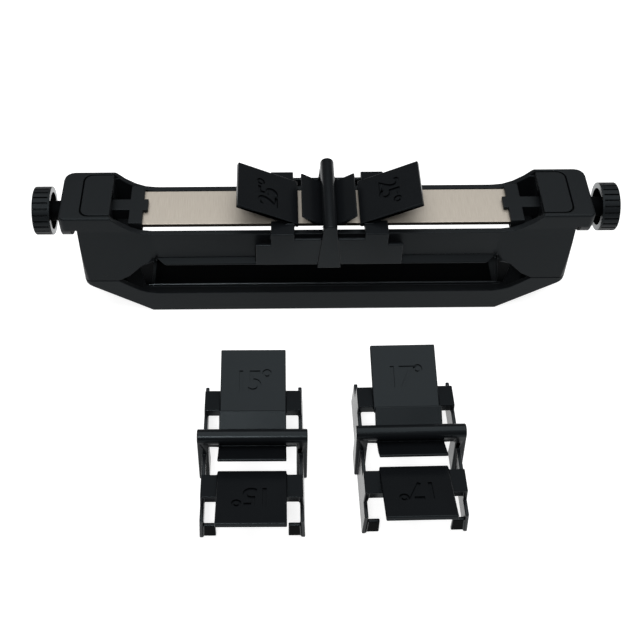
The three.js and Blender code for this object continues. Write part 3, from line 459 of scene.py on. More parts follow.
def pick_edges(piece, test):
    """Selects in edit mode the edges whose two ends pass a test."""
    edit(piece, "EDGE")
    bpy.ops.mesh.select_all(action="DESELECT")
    leave()
    corners = piece.data.vertices
    for line in piece.data.edges:
        first, second = (corners[index].co for index in line.vertices)
        line.select = test(first, second)
    bpy.ops.object.mode_set(mode="EDIT")


print("corners closer than", CLOSE, "m are merged")

# %% [markdown]
# ## Outlines, lathe work and joining
#
# Most pieces start as a drawn outline. By hand you would place one corner, press E
# to extrude it from point to point, press F to fill, and then pull the face out.
# The helpers below press the same keys. Round pieces are a profile that is spun
# about its axis, as on a lathe. Solids are joined to each other, or cut out of each
# other, by a Boolean modifier that is applied at once.

# %% Tracing, pulling and spinning


def trace(name, points):
    """Draws a line of edges by extruding one corner from point to point."""
    bpy.ops.object.select_all(action="DESELECT")
    bpy.ops.mesh.primitive_plane_add(size=MM, location=points[0])
    piece = bpy.context.object
    piece.name = name
    edit(piece)
    bpy.ops.mesh.select_all(action="SELECT")
    bpy.ops.mesh.merge(type="CENTER")
    for here, there in zip(points, points[1:]):
        bpy.ops.mesh.extrude_vertices_move(TRANSFORM_OT_translate={"value": there - here})
    bpy.ops.mesh.select_all(action="SELECT")
    return piece


def settle(piece):
    """Puts the piece's place into its mesh, and its object at the origin."""
    leave()
    choose(piece)
    bpy.ops.object.transform_apply(location=True, rotation=True, scale=True)
    return piece


def pulled(name, points, pull):
    """A closed solid from a traced outline, filled and pulled straight out."""
    piece = trace(name, points)
    bpy.ops.mesh.edge_face_add()
    bpy.ops.mesh.extrude_region_move(TRANSFORM_OT_translate={"value": pull})
    bpy.ops.mesh.select_all(action="SELECT")
    bpy.ops.mesh.normals_make_consistent(inside=False)
    return settle(piece)


def spun(name, points, middle, axis, steps):
    """A closed round solid from a profile that starts and ends on its axis."""
    piece = trace(name, points)
    bpy.ops.mesh.spin(steps=steps, angle=2 * math.pi, center=middle, axis=axis)
    bpy.ops.mesh.select_all(action="SELECT")
    bpy.ops.mesh.remove_doubles(threshold=CLOSE)
    bpy.ops.mesh.normals_make_consistent(inside=False)
    return settle(piece)


def combine(piece, others, operation="UNION"):
    """Joins other solids to a piece, or cuts them out of it."""
    for other in others:
        choose(piece)
        step = piece.modifiers.new("combine", "BOOLEAN")
        step.operation = operation
        step.solver = "EXACT"
        step.use_self = operation == "DIFFERENCE"
        step.object = other
        bpy.ops.object.modifier_apply(modifier=step.name)
        bpy.data.objects.remove(other)
    return piece


print("modelling helpers ready")

# %% [markdown]
# ## Soft edges
#
# No moulded edge is truly sharp. A Bevel modifier rounds every edge that turns by
# more than a small angle, and a Weighted Normal modifier then lets the large flat
# faces keep their own direction, so that only the rounded edge shines.
#
# Where two edges lie closer together than the rounding is wide, a corner can shoot
# out like a thorn. So we measure how far the corners end up from the plain skin, and
# where one has strayed we start again with a narrower rounding.

# %% Edge helpers
EDGE_ANGLE = math.radians(27)
SMOOTH_ANGLE = math.radians(42)
FLAT_ANGLE = math.radians(0.9)
FLAT_WEIGHT = 100
ROUND_SHARES = (1, 0.8, 0.6, 0.45, 0.3, 0.2)
STRAY_LIMIT = 0.45


def cleaned(piece, close=CLOSE):
    """Merges doubled corners and dissolves edges inside flat faces."""
    edit(piece)
    bpy.ops.mesh.select_all(action="SELECT")
    bpy.ops.mesh.remove_doubles(threshold=close)
    bpy.ops.mesh.dissolve_limited(angle_limit=FLAT_ANGLE)
    leave()
    return piece


def rounded(piece, width, segments=3):
    """Rounds a clean piece's edges, by less if a corner strays from its skin."""
    plain = piece.data.copy()
    skin = BVHTree.FromPolygons(
        [corner.co.copy() for corner in plain.vertices],
        [list(face.vertices) for face in plain.polygons],
    )
    for share in ROUND_SHARES:
        piece.data = plain.copy()
        choose(piece)
        bevel = piece.modifiers.new("round edges", "BEVEL")
        bevel.width = width * share * MM
        bevel.segments = segments
        bevel.limit_method = "ANGLE"
        bevel.angle_limit = EDGE_ANGLE
        bevel.use_clamp_overlap = False
        bpy.ops.object.modifier_apply(modifier=bevel.name)
        stray = max(skin.find_nearest(corner.co)[3] for corner in piece.data.vertices)
        if stray < STRAY_LIMIT * MM:
            break
    print(piece.name, "rounded by", round(width * share, 2), "stray", round(stray / MM, 2))
    return piece


def smoothed(piece):
    """Shades curved faces smooth and keeps flat faces flat."""
    choose(piece)
    bpy.ops.object.shade_smooth_by_angle(angle=SMOOTH_ANGLE)
    level = piece.modifiers.new("flat faces", "WEIGHTED_NORMAL")
    level.keep_sharp = True
    level.weight = FLAT_WEIGHT
    bpy.ops.object.modifier_apply(modifier=level.name)
    return piece


print("edge helpers ready")

# %% [markdown]
# ## Dressing a piece
#
# A finished piece takes the finish, the slot and the body of the solid that it
# stands for. Where it shows more than one finish, each face is given its own, by
# its place and by the way it faces. A face counts as facing a way when most of its
# normal points there, and as lying at a height when it is near enough.

# %% Dressing helpers
FACING = 0.9
FLAT = 0.99
SIDEWAYS = 0.5
NEAR = 0.1


def painted(piece, names, choice):
    """Gives each face one of the named finishes, by the number that choice returns."""
    piece.data.materials.clear()
    for name in names:
        piece.data.materials.append(finishes[name])
    for face in piece.data.polygons:
        face.material_index = choice(face.center, face.normal)
    return piece


def dressed(piece, node):
    """Gives a piece the finish, slot and body of the solid it stands for."""
    if not piece.data.materials:
        piece.data.materials.append(finishes[slots[node]])
    piece.name = node + "_made"
    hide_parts(node)
    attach(piece, bodies[node])
    print(piece.name, len(piece.data.polygons), "faces")
    return piece


def turned_copy(piece):
    """A copy turned half round the middle, for the other end of the stand."""
    choose(piece)
    bpy.ops.object.duplicate(linked=False)
    copy = bpy.context.object
    copy.rotation_euler = (0, 0, math.pi)
    return settle(copy)


def cast(node, close=CLOSE):
    """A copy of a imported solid, cleaned to whole faces."""
    piece = bpy.data.objects.new(node + "_cast", nodes[node].data.copy())
    bpy.context.scene.collection.objects.link(piece)
    piece.data.materials.clear()
    return cleaned(piece, close)


print("dressing helpers ready")

# %% [markdown]
# ## The upper frame
#
# The upper frame is one moulding: two towers with heads, joined by two rails. Its
# solid already has the right walls and openings, so we copy it, merge its loose
# triangles and round the edges as a mould maker would. The outer front corner of
# each head is first drawn in to a tighter arc, one height at a time. The panels at
# the inner foot of each tower lean back into shadow, so their shade is painted on
# with the near-black look.

# %% Upper frame
FRAME_EDGE = 0.3
FRAME_CLOSE = 0.5 * MM
ARC_X = 103.3
ARC_Y = 9.6
ARC_SHRINK = 0.55
BOSS_RADIUS = 10.0
PANEL_INNER = 70.0
PANEL_OUTER = 77.5
PANEL_TOP = 29.8
PANEL_LEAN = 0.1

knob_low, knob_high = (Vector(corner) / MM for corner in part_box("right_knob"))
axis_height = (knob_low.z + knob_high.z) / 2
print("the clamps' axis is", round(axis_height, 2), "mm above the table")


def corner_levels(piece, end):
    """Corners of one head's outer front arc, gathered by height."""
    levels = {}
    for corner in piece.data.vertices:
        x, y, z = corner.co.x * end / MM, corner.co.y / MM, corner.co.z / MM
        on_boss = math.hypot(y, z - axis_height) < BOSS_RADIUS
        if x > ARC_X and y < -ARC_Y and not on_boss:
            levels.setdefault(round(z, 1), []).append(corner.index)
    return levels


def tightened(piece):
    """Draws the outer front corner of both heads in to a smaller arc."""
    for end in (-1, 1):
        for members in corner_levels(piece, end).values():
            places = [piece.data.vertices[index].co.copy() for index in members]
            outer_x = max(place.x * end for place in places) * end
            front_y = min(place.y for place in places)
            edit(piece)
            bpy.ops.mesh.select_all(action="DESELECT")
            leave()
            for index in members:
                piece.data.vertices[index].select = True
            bpy.ops.object.mode_set(mode="EDIT")
            bpy.ops.transform.resize(
                value=(ARC_SHRINK, ARC_SHRINK, 1), center_override=(outer_x, front_y, 0)
            )
            leave()
    return piece


def frame_look(middle, normal):
    """Painted shade for a tower's leaning panel, the plain look elsewhere."""
    leaning = normal.y < -FACING and normal.z < -PANEL_LEAN
    inside = PANEL_INNER < abs(middle.x) / MM < PANEL_OUTER
    return int(leaning and inside and middle.z / MM < PANEL_TOP)


upper_frame = tightened(cast("upper_frame", FRAME_CLOSE))
smoothed(rounded(upper_frame, FRAME_EDGE))
# Painted shade goes on the leaning panels at the towers' inner feet.
painted(upper_frame, ("black_plastic", "painted_shade_plastic"), frame_look)
dressed(upper_frame, "upper_frame")

# %% [markdown]
# ## The tray
#
# The tray closes the frame from below, and is copied in the same way. Under each
# end it leaves the table with a soft bend, so those two edges get a wide bevel
# before the rest is rounded. A polished bead runs along its lip, and its floor,
# which lies in shade, gets painted shade, the near-black look.

# %% Tray
TRAY_EDGE = 0.32
FOOT_X = 73.6
FOOT_Z = 1.0
FOOT_REACH = 0.3
FOOT_ROUND = 3.5
FOOT_STEPS = 6
LIP_LOW = 12.0
LIP_HIGH = 12.6
LIP_INNER = 11.8
LIP_OUTER = 12.8
LIP_UP = 0.3
FLOOR_LEVEL = 4.0


def foot_edge(first, second):
    """Whether an edge crosses the tray's underside where one end starts to rise."""
    reach = max(abs(abs(end.x) / MM - FOOT_X) for end in (first, second))
    same_end = first.x * second.x > 0
    return reach < FOOT_REACH and same_end and max(first.z, second.z) < FOOT_Z * MM


def tray_look(middle, normal):
    """The polished look for the lip's bead, painted shade for the floor."""
    level, across = middle.z / MM, abs(middle.y) / MM
    if LIP_LOW < level < LIP_HIGH and LIP_INNER < across < LIP_OUTER and normal.z > LIP_UP:
        return 1
    return 2 if abs(level - FLOOR_LEVEL) < NEAR and normal.z > FACING else 0


base_tray = cast("base_tray")
pick_edges(base_tray, foot_edge)
print("foot edges", base_tray.data.total_edge_sel)
bpy.ops.mesh.bevel(offset=FOOT_ROUND * MM, segments=FOOT_STEPS, affect="EDGES")
smoothed(rounded(base_tray, TRAY_EDGE))
# Painted shade goes on the tray's floor.
painted(base_tray, ("black_plastic", "polished_plastic", "painted_shade_plastic"), tray_look)
dressed(base_tray, "base_tray")

# %% [markdown]
# ## The tower caps
#
# A cap closes each head. The groove round it shows as a dark line that is wider
# than the play between the solids, so each cap is drawn in a little on three sides.
# Its fourth side, towards the plate, stays where it is.

# %% Tower caps
CAP_EDGE = 0.25
CAP_GAP = 0.22

for side, inward in (("left", 1), ("right", -1)):
    cap = cast(side + "_tower_cap")
    low, high = (Vector(corner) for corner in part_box(side + "_tower_cap"))
    inner_x = high.x if inward > 0 else low.x
    edit(cap)
    bpy.ops.mesh.select_all(action="SELECT")
    share_x = 1 - CAP_GAP * MM / (high.x - low.x)
    share_y = 1 - 2 * CAP_GAP * MM / (high.y - low.y)
    middle_y = (low.y + high.y) / 2
    bpy.ops.transform.resize(
        value=(share_x, share_y, 1), center_override=(inner_x, middle_y, 0)
    )
    leave()
    smoothed(rounded(cap, CAP_EDGE))
    dressed(cap, side + "_tower_cap")

# %% [markdown]
# ## The jaws
#
# Each jaw is a T: a crossbar that grips the plate's end, a stem through the head
# and a block that the screw pulls. It is moulded like the stand, with small edges.

# %% Jaws
JAW_EDGE = 0.25

for side in ("left", "right"):
    jaw = smoothed(rounded(cast(side + "_clamp_jaw"), JAW_EDGE))
    dressed(jaw, side + "_clamp_jaw")

# %% [markdown]
# ## The abrasive plate
#
# The plate is a flat bar with an abrasive layer on both faces. We add a cube at its
# size, round its corners, and inset both large faces so that the layer stops just
# short of the edge. The narrow sides get the near-black colour.

# %% Abrasive plate
PLATE_EDGE = 0.2
LAYER_MARGIN = 0.35
LAYER_STEP = 0.08
SIDE_TILT = 0.8

plate_low, plate_high = (Vector(corner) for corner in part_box("sharpening_plate"))
bpy.ops.object.select_all(action="DESELECT")
bpy.ops.mesh.primitive_cube_add(size=1, location=(plate_high + plate_low) / 2)
plate = bpy.context.object
plate.scale = plate_high - plate_low - mm(0, 0, 2 * LAYER_STEP)
settle(plate)
rounded(plate, PLATE_EDGE)
pick(plate, lambda middle, normal: abs(normal.z) > FLAT)
bpy.ops.mesh.inset(thickness=LAYER_MARGIN * MM, depth=LAYER_STEP * MM)
leave()
smoothed(plate)
painted(
    plate,
    ("plate_steel", "plate_side"),
    lambda middle, normal: int(abs(normal.z) < SIDE_TILT),
)
dressed(plate, "sharpening_plate")

# %% [markdown]
# ## The knobs
#
# A knob is a ribbed cup that screws the jaw in and out. It starts as a cylinder
# with four sides to each rib. Every fourth side is inset and pushed in as a groove.
# The inner face is inset and extruded into a cup, and again outward into the hub
# that reaches for the head. The ring that is left round the cup is polished, and
# the cup and its hub get painted shade, the near-black look.

# %% Knob
RIB_COUNT = 24
SIDES_PER_RIB = 4
RIM_LENGTH = 0.8
FACE_LENGTH = 0.4
GROOVE_DEPTH = 0.9
GROOVE_WALL = 0.1
CUP_RADIUS = 7.6
CUP_DEPTH = 4.9
SCREW_SETBACK = 0.4
HUB_RADIUS = 4.1
BORE_RADIUS = 3.3
DISH_MARGIN = 2.2
DISH_DEPTH = 0.35
KNOB_EDGE = 0.12
END_REACH = 0.05

knob_radius = (knob_high.y - knob_low.y) / 2
hub_x, knob_outer_x = knob_low.x, knob_high.x
knob_inner_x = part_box("right_clamp_screw")[1][0] / MM + SCREW_SETBACK - CUP_DEPTH
print("knob", round(2 * knob_radius, 2), "mm across, inner face at", round(knob_inner_x, 2))

bpy.ops.object.select_all(action="DESELECT")
bpy.ops.mesh.primitive_cylinder_add(
    vertices=RIB_COUNT * SIDES_PER_RIB,
    radius=knob_radius * MM,
    depth=(knob_outer_x - knob_inner_x) * MM,
    location=mm((knob_outer_x + knob_inner_x) / 2, 0, axis_height),
    rotation=(0, math.pi / 2, 0),
)
knob = settle(bpy.context.object)
for ring_x in (knob_inner_x + RIM_LENGTH, knob_outer_x - FACE_LENGTH):
    edit(knob)
    bpy.ops.mesh.select_all(action="SELECT")
    bpy.ops.mesh.bisect(plane_co=mm(ring_x, 0, 0), plane_no=(1, 0, 0))
    leave()

# %% Knob ribs and cup


def is_groove(middle, normal):
    """Whether a side of the knob is the first of its rib, between the two rings."""
    along = knob_inner_x + RIM_LENGTH < middle.x / MM < knob_outer_x - FACE_LENGTH
    turn = math.atan2(middle.z / MM - axis_height, middle.y / MM) % (2 * math.pi)
    side = int(turn / (2 * math.pi) * RIB_COUNT * SIDES_PER_RIB)
    return along and abs(normal.x) < SIDEWAYS and side % SIDES_PER_RIB == 0


def end_face(place):
    """A test for flat faces across the knob's axis at one place."""
    return (
        lambda middle, normal: abs(middle.x / MM - place) < END_REACH
        and abs(normal.x) > FACING
    )


pick(knob, is_groove)
bpy.ops.mesh.inset(
    thickness=GROOVE_WALL * MM, depth=-GROOVE_DEPTH * MM, use_individual=True
)
pick(knob, end_face(knob_outer_x))
bpy.ops.transform.resize(
    value=(1, 1 - FACE_LENGTH / knob_radius, 1 - FACE_LENGTH / knob_radius),
    center_override=mm(knob_outer_x, 0, axis_height),
)
bpy.ops.mesh.inset(thickness=DISH_MARGIN * MM)
bpy.ops.mesh.inset(thickness=DISH_DEPTH * MM, depth=-DISH_DEPTH * MM)
pick(knob, end_face(knob_inner_x))
bpy.ops.mesh.inset(thickness=(knob_radius - CUP_RADIUS) * MM)
bpy.ops.mesh.extrude_region_move(TRANSFORM_OT_translate={"value": mm(CUP_DEPTH, 0, 0)})
bpy.ops.mesh.inset(thickness=(CUP_RADIUS - HUB_RADIUS) * MM)
bpy.ops.mesh.extrude_region_move(
    TRANSFORM_OT_translate={"value": mm(hub_x - knob_inner_x - CUP_DEPTH, 0, 0)}
)
bpy.ops.mesh.inset(thickness=(HUB_RADIUS - BORE_RADIUS) * MM)
bpy.ops.mesh.extrude_region_move(
    TRANSFORM_OT_translate={"value": mm(knob_inner_x + CUP_DEPTH - hub_x, 0, 0)}
)
leave()
smoothed(rounded(knob, KNOB_EDGE, 2))

# %% Knob finishes
inner_ring = end_face(knob_inner_x)
cup_floor_x = knob_inner_x + CUP_DEPTH


def knob_look(middle, normal):
    """The polished look for the ring, painted shade for the cup and its hub."""
    reach = math.hypot(middle.y / MM, middle.z / MM - axis_height)
    if inner_ring(middle, normal) and reach > HUB_RADIUS:
        return 1
    inside = reach < CUP_RADIUS + KNOB_EDGE / 2 and middle.x / MM < cup_floor_x + KNOB_EDGE
    return 2 if inside else 0


# Painted shade goes in the cup and on its hub.
painted(knob, ("black_plastic", "polished_plastic", "painted_shade_plastic"), knob_look)
dressed(turned_copy(knob), "left_knob")
dressed(knob, "right_knob")

# %% [markdown]
# ## The clamp screws
#
# The screw has a 6 mm thread, a plain tip and a groove for its clip. A lathe would
# turn it from a bar, so we trace half of its outline, with one tooth for each
# millimetre of thread, and spin it. The teeth are rings where a real thread is a
# helix, which nobody can tell apart inside the head.

# %% Clamp screws
THREAD_RADIUS = 3.0
THREAD_DEPTH = 0.5
THREAD_PITCH = 1.0
TIP_RADIUS = 2.0
NECK_RADIUS = 1.5
NECK_ROOM = 0.3
SHOULDER_ROOM = 2.2
SCREW_STEPS = 24
CHAMFER = 0.4

screw_low, screw_high = (Vector(corner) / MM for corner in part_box("right_clamp_screw"))
clip_low, clip_high = (Vector(corner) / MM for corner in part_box("right_screw_clip"))
shoulder_x = clip_high.x + SHOULDER_ROOM
profile = [
    (screw_low.x, 0),
    (screw_low.x, TIP_RADIUS),
    (clip_low.x - NECK_ROOM, TIP_RADIUS),
    (clip_low.x - NECK_ROOM, NECK_RADIUS),
    (clip_high.x + NECK_ROOM, NECK_RADIUS),
    (clip_high.x + NECK_ROOM, TIP_RADIUS),
    (shoulder_x, TIP_RADIUS),
]
tooth_x = shoulder_x + CHAMFER
while tooth_x + THREAD_PITCH < screw_high.x:
    profile.append((tooth_x, THREAD_RADIUS - THREAD_DEPTH))
    profile.append((tooth_x + THREAD_PITCH / 2, THREAD_RADIUS))
    tooth_x += THREAD_PITCH
profile.append((tooth_x, THREAD_RADIUS - THREAD_DEPTH))
profile.append((screw_high.x, THREAD_RADIUS - THREAD_DEPTH))
profile.append((screw_high.x, 0))
screw = spun(
    "clamp_screw",
    [mm(x, 0, axis_height + radius) for x, radius in profile],
    mm(0, 0, axis_height),
    (1, 0, 0),
    SCREW_STEPS,
)
smoothed(screw)
dressed(turned_copy(screw), "left_clamp_screw")
dressed(screw, "right_clamp_screw")

# %% [markdown]
# ## Clips and inserts
#
# A spring clip holds each screw's tip in its jaw, and a brass insert in each head
# carries the thread. Both are simple stamped and turned shapes with tiny edges.

# %% Clips and inserts
SMALL_EDGE = 0.08

for side in ("left", "right"):
    for kind in ("screw_clip", "threaded_insert"):
        small = smoothed(rounded(cast(side + "_" + kind), SMALL_EDGE, 2))
        dressed(small, side + "_" + kind)

# %% [markdown]
# ## The tray screws
#
# Four self-tapping screws hold the tray to the towers. Each is spun from a profile
# with a pan head, and a six-sided cylinder is cut out of the head for the key.

# %% Tray screws
TAP_RADIUS = 1.5
TAP_DEPTH = 0.35
TAP_PITCH = 1.3
HEAD_RADIUS = 2.8
HEAD_LENGTH = 2.0
HEAD_ROUND = 0.6
KEY_RADIUS = 1.3
KEY_DEPTH = 0.9

low, high = (Vector(corner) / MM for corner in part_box("front_left_tray_screw"))
profile = [
    (0, low.z),
    (HEAD_RADIUS - HEAD_ROUND, low.z),
    (HEAD_RADIUS, low.z + HEAD_ROUND),
    (HEAD_RADIUS, low.z + HEAD_LENGTH),
    (TAP_RADIUS - TAP_DEPTH, low.z + HEAD_LENGTH),
]
tooth_z = low.z + HEAD_LENGTH + TAP_PITCH
while tooth_z + TAP_PITCH < high.z:
    profile.append((TAP_RADIUS - TAP_DEPTH, tooth_z))
    profile.append((TAP_RADIUS, tooth_z + TAP_PITCH / 4))
    profile.append((TAP_RADIUS - TAP_DEPTH, tooth_z + TAP_PITCH / 2))
    tooth_z += TAP_PITCH
profile.append((0, high.z))
points = [mm(radius, 0, z) for radius, z in profile]
tray_screw = spun("tray_screw", points, mm(0, 0, 0), (0, 0, 1), SCREW_STEPS)
bpy.ops.object.select_all(action="DESELECT")
bpy.ops.mesh.primitive_cylinder_add(
    vertices=6, radius=KEY_RADIUS * MM, depth=2 * KEY_DEPTH * MM, location=mm(0, 0, low.z)
)
combine(tray_screw, [bpy.context.object], "DIFFERENCE")
smoothed(tray_screw)
for row in ("front", "back"):
    for side in ("left", "right"):
        node = row + "_" + side + "_tray_screw"
        low, high = (Vector(corner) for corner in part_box(node))
        choose(tray_screw)
        bpy.ops.object.duplicate(linked=False)
        bpy.context.object.location = ((low.x + high.x) / 2, (low.y + high.y) / 2, 0)
        dressed(settle(bpy.context.object), node)
bpy.data.objects.remove(tray_screw)

# %% [markdown]
# ## The rubber pad
#
# A sheet of rubber under the tray keeps the stand from sliding. Its underside is
# moulded with short bars for grip. We cut the sheet into a strip for each bar with
# bisecting planes and push every second strip up a little.

# %% Rubber pad
PAD_EDGE = 0.3
GRIP_PITCH = 5.0
GRIP_DEPTH = 0.4
GRIP_MARGIN = 1.5


def underside(middle, normal):
    """Whether a face lies under the pad, and isn't part of its margin."""
    return normal.z < -FLAT and abs(middle.y) < MM


def second_strip(middle, normal):
    """Whether a face is one of every second strip under the pad."""
    even = math.floor(middle.x / MM / GRIP_PITCH) % 2 == 0
    return underside(middle, normal) and abs(middle.z) < CLOSE and even


pad = rounded(cast("non_slip_pad"), PAD_EDGE)
pick(pad, underside)
bpy.ops.mesh.inset(thickness=GRIP_MARGIN * MM)
pad_low, pad_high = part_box("non_slip_pad")
cut_x = math.ceil(pad_low[0] / MM / GRIP_PITCH) * GRIP_PITCH + GRIP_PITCH
strips = 0
while cut_x < pad_high[0] / MM - GRIP_PITCH / 2:
    bpy.ops.mesh.bisect(plane_co=mm(cut_x, 0, 0), plane_no=(1, 0, 0))
    pick(pad, underside)
    cut_x += GRIP_PITCH
    strips += 1
pick(pad, second_strip)
bpy.ops.mesh.inset(thickness=GRIP_DEPTH * MM, depth=-GRIP_DEPTH * MM, use_individual=True)
leave()
smoothed(pad)
dressed(pad, "non_slip_pad")
print(strips, "strips")

# %% [markdown]
# ## The angle guides
#
# A guide is one moulding: two side walls that straddle the rails, four arms, two
# sloping wings that the knife slides on, two short wings and an arched bar across
# the middle. We model each form as a solid, join them all with booleans into one
# skin, round its edges, and last of all cut the number into both wings, so that the
# rounding doesn't touch the fine strokes. The rails keep the mounted guide's walls
# upright, and those of the loose ones lean out a little at the foot. Sizes run
# along the guide (u), across it (v) and up from its lowest edge (w).

# %% Guide sizes
HALF_LENGTH = 29.9
WALL = 1.45
WALL_HALF_WIDTH = 18.56
END_HEIGHT = 11.56
MID_HEIGHT = 14.6
ARM_INNER = 14.18
ARM_OUTER = 23.64
ARM_BOTTOM = 14.1
ARM_TOP = 17.8
ARM_END = 10.6
FLANGE_LENGTH = 1.5
FLANGE_INNER = 14.45
LOOSE_FLANGE_INNER = 13.2
SPLAY = 0.85
FLANGE_LOW = 1.2
FLANGE_HIGH = 8.4
WING_HALF_WIDTH = 12.6
WING_LENGTH = 26.7
WING_THICKNESS = 2.0
WING_START = 12.5
WING_UNDER = 15.9
WING_TOP = 17.7
SMALL_TIP = (10.8, 22.5)
SMALL_BEND = (5.5, 19.4)
SMALL_ROOT = (1.5, 16.3)
SMALL_THICKNESS = 2.0
BAR_TOP = 23.9
BAR_HALF_LENGTH = 20.46
ROD_RADIUS = 2.85
ROD_SIDES = 40
WEB_HALF_THICKNESS = 1.5
WEB_HALF_LENGTH = 18.0
LEG_INNER = 16.5
LEG_HALF_FOOT = 4.81
LEG_HALF_TOP = 2.7
OVERLAP = 0.4
GUIDE_EDGE = 0.4
print("guide", 2 * HALF_LENGTH, "mm long")

# %% Guide walls and arms


def from_side(outline, v):
    """Points of a side view, at a distance across the guide."""
    return [mm(u, v, w) for u, w in outline]


def mirrored(outline):
    """An outline and its mirror image, as one loop."""
    return list(outline) + [(-u, w) for u, w in reversed(outline)]


def bar_of(name, u, v, w):
    """A straight bar between two places along, across and up."""
    corners = [(u[0], w[0]), (u[1], w[0]), (u[1], w[1]), (u[0], w[1])]
    return pulled(name, from_side(corners, v[0]), mm(0, v[1] - v[0], 0))


def guide_sides(lean, flange_inner):
    """The walls, their flanges and the arms of a guide."""
    wall = mirrored(
        [
            (HALF_LENGTH, 0),
            (HALF_LENGTH, END_HEIGHT),
            (ARM_OUTER, END_HEIGHT),
            (ARM_OUTER, ARM_TOP),
            (ARM_INNER, ARM_TOP),
            (ARM_INNER, MID_HEIGHT),
        ]
    )
    solids = []
    inner = WALL_HALF_WIDTH - WALL
    for across in (-1, 1):
        start = WALL_HALF_WIDTH if across < 0 else -inner
        leaning = [mm(u, across * lean * (1 - w / ARM_TOP) - start, w) for u, w in wall]
        solids.append(pulled("wall", leaning, mm(0, WALL, 0)))
        sweep = sorted((across * ARM_END, across * (inner + OVERLAP)))
        lip = sorted((across * flange_inner, across * (inner + OVERLAP + lean / 2)))
        for along in (-1, 1):
            arm = sorted((along * ARM_INNER, along * ARM_OUTER))
            end = sorted((along * (HALF_LENGTH - FLANGE_LENGTH), along * HALF_LENGTH))
            solids.append(bar_of("arm", arm, sweep, (ARM_BOTTOM, ARM_TOP)))
            solids.append(bar_of("flange", end, lip, (FLANGE_LOW, FLANGE_HIGH)))
    return solids


print("guide side helpers ready")

# %% Guide wings and bar


def wing_outline(angle):
    """The side view of one long wing."""
    slope = math.radians(angle)
    tip_u = WING_START + WING_LENGTH * math.cos(slope)
    tip_w = WING_TOP + WING_LENGTH * math.sin(slope)
    under_u = tip_u + WING_THICKNESS * math.sin(slope)
    under_w = tip_w - WING_THICKNESS * math.cos(slope)
    crease = under_u - (under_w - WING_UNDER) / math.tan(slope)
    return [
        (WING_START, WING_UNDER),
        (crease, WING_UNDER),
        (under_u, under_w),
        (tip_u, tip_w),
        (WING_START, WING_TOP),
    ]


def small_outline():
    """The side view of one short wing."""
    run, rise = SMALL_TIP[0] - SMALL_BEND[0], SMALL_TIP[1] - SMALL_BEND[1]
    over = rise / math.hypot(run, rise) * SMALL_THICKNESS
    down = run / math.hypot(run, rise) * SMALL_THICKNESS
    return [
        SMALL_ROOT,
        (SMALL_BEND[0] + over, SMALL_BEND[1] - down),
        (SMALL_TIP[0] + over / 2, SMALL_TIP[1] - down / 2),
        SMALL_TIP,
        SMALL_BEND,
        (SMALL_ROOT[0], SMALL_ROOT[1] + SMALL_THICKNESS / 2),
    ]


def guide_bar():
    """The arched bar: a round rod on a thin web, between two spreading legs."""
    rod_height = BAR_TOP - ROD_RADIUS
    bpy.ops.object.select_all(action="DESELECT")
    bpy.ops.mesh.primitive_cylinder_add(
        vertices=ROD_SIDES,
        radius=ROD_RADIUS * MM,
        depth=2 * BAR_HALF_LENGTH * MM,
        location=mm(0, 0, rod_height),
        rotation=(math.pi / 2, 0, 0),
    )
    rod = settle(bpy.context.object)
    web = bar_of(
        "web",
        (-WEB_HALF_THICKNESS, WEB_HALF_THICKNESS),
        (-WEB_HALF_LENGTH, WEB_HALF_LENGTH),
        (SMALL_ROOT[1], rod_height),
    )
    leg = [
        (-LEG_HALF_FOOT, 0),
        (LEG_HALF_FOOT, 0),
        (LEG_HALF_TOP, rod_height),
        (-LEG_HALF_TOP, rod_height),
    ]
    legs = [
        pulled("leg", from_side(leg, inner), mm(0, BAR_HALF_LENGTH - LEG_INNER, 0))
        for inner in (-BAR_HALF_LENGTH, LEG_INNER)
    ]
    return combine(rod, [web] + legs)


print("guide wing helpers ready")

# %% [markdown]
# ## Numbers on the wings
#
# The angle is cut into each long wing. A text object drawn with Blender's own font
# is given some thickness, made a mesh, laid into the wing's slope and subtracted.
# The walls of the cut get painted shade, because the strokes are narrow and deep.

# %% Guide numbers
NUMBER_SIZE = 12.5
NUMBER_SPACING = 0.85
NUMBER_BOLDNESS = 0.14
NUMBER_DEPTH = 0.6
NUMBER_DISTANCE = 13.0
NUMBER_REACH = 8.0
NUMBER_SKIN = 0.02
CURVE_STEPS = 4
HALF_TURN = Matrix.Rotation(math.pi, 4, "Z")


def number_cutters(angle):
    """Two solid numbers, one lying in the slope of each long wing."""
    slope = math.radians(angle)
    u = WING_START + NUMBER_DISTANCE * math.cos(slope)
    w = WING_TOP + NUMBER_DISTANCE * math.sin(slope)
    lie = Matrix.Rotation(-slope, 4, "Y") @ Matrix.Rotation(-math.pi / 2, 4, "Z")
    cutters = []
    for side in (Matrix.Identity(4), HALF_TURN):
        bpy.ops.object.select_all(action="DESELECT")
        bpy.ops.object.text_add()
        text = bpy.context.object
        text.data.body = str(angle) + "°"
        text.data.size = NUMBER_SIZE * MM
        text.data.space_character = NUMBER_SPACING
        text.data.offset = NUMBER_BOLDNESS * MM
        text.data.extrude = NUMBER_DEPTH * MM
        text.data.resolution_u = CURVE_STEPS
        text.data.align_x = "CENTER"
        text.data.align_y = "CENTER"
        bpy.ops.object.convert(target="MESH")
        cutter = bpy.context.object
        cutter.matrix_world = side @ Matrix.Translation(mm(u, 0, w)) @ lie
        cutters.append(settle(cutter))
    return cutters


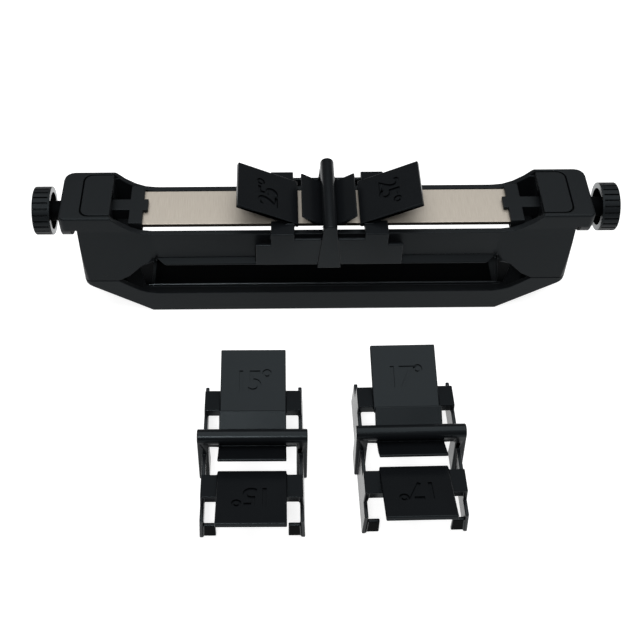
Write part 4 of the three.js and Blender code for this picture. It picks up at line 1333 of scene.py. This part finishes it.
def in_number(middle, normal, angle):
    """Whether a face is a wall of a number that is cut in a long wing."""
    slope = math.radians(angle)
    along = abs(middle.x) / MM - WING_START
    below = WING_TOP + along * math.tan(slope) - middle.z / MM
    upward = normal.z * math.cos(slope) - abs(normal.x) * math.sin(slope)
    beside = abs(middle.y) / MM < NUMBER_REACH
    near = abs(along - NUMBER_DISTANCE * math.cos(slope)) < NUMBER_REACH
    sunk = NUMBER_SKIN < below < NUMBER_DEPTH + NEAR
    return beside and near and sunk and upward < SIDEWAYS


print("number helpers ready")

# %% [markdown]
# ## The three guides
#
# One function makes all three, each from its row below: the solid's name, the
# angle, the place and the turn, how far the walls lean, and how far in the end
# flanges reach. A guide is made at the origin, along X, and then put in its place.

# %% Guides
GUIDES = (
    ("guide_25", 25, (1.08, 0, 30.3), 0, 0, FLANGE_INNER),
    ("guide_15", 15, (-29.9, -96.6, 0), 89.7, SPLAY, LOOSE_FLANGE_INNER),
    ("guide_17", 17, (29.0, -95.2, 0), 90.8, SPLAY, LOOSE_FLANGE_INNER),
)


def guide_look(middle, normal, angle):
    """Painted shade for flange ends and number walls, the matt look for arm tops."""
    u, v, w = (abs(size) / MM for size in middle)
    at_end = u > HALF_LENGTH - NEAR and v < WALL_HALF_WIDTH - WALL
    if (at_end and FLANGE_LOW < w < FLANGE_HIGH) or in_number(middle, normal, angle):
        return 1
    on_arm = v > WING_HALF_WIDTH and abs(w - ARM_TOP) < NEAR and normal.z > FACING
    return 2 if on_arm else 0


def angle_guide(angle, lean, flange_inner):
    """One guide, standing at the origin along X."""
    solids = guide_sides(lean, flange_inner)
    for outline in (wing_outline(angle), small_outline()):
        for along in (-1, 1):
            side = [(along * u, w) for u, w in outline]
            points = from_side(side, -WING_HALF_WIDTH)
            solids.append(pulled("wing", points, mm(0, 2 * WING_HALF_WIDTH, 0)))
    guide = rounded(cleaned(combine(guide_bar(), solids)), GUIDE_EDGE)
    smoothed(combine(guide, number_cutters(angle), "DIFFERENCE"))
    # Painted shade goes on the flange ends and the walls of the numbers.
    return painted(
        guide,
        ("guide_plastic", "painted_shade_plastic", "matt_plastic"),
        lambda middle, normal: guide_look(middle, normal, angle),
    )


for node, angle, place, turn, lean, flange_inner in GUIDES:
    guide = angle_guide(angle, lean, flange_inner)
    guide.location = mm(*place)
    guide.rotation_euler = (0, 0, math.radians(turn))
    dressed(settle(guide), node)
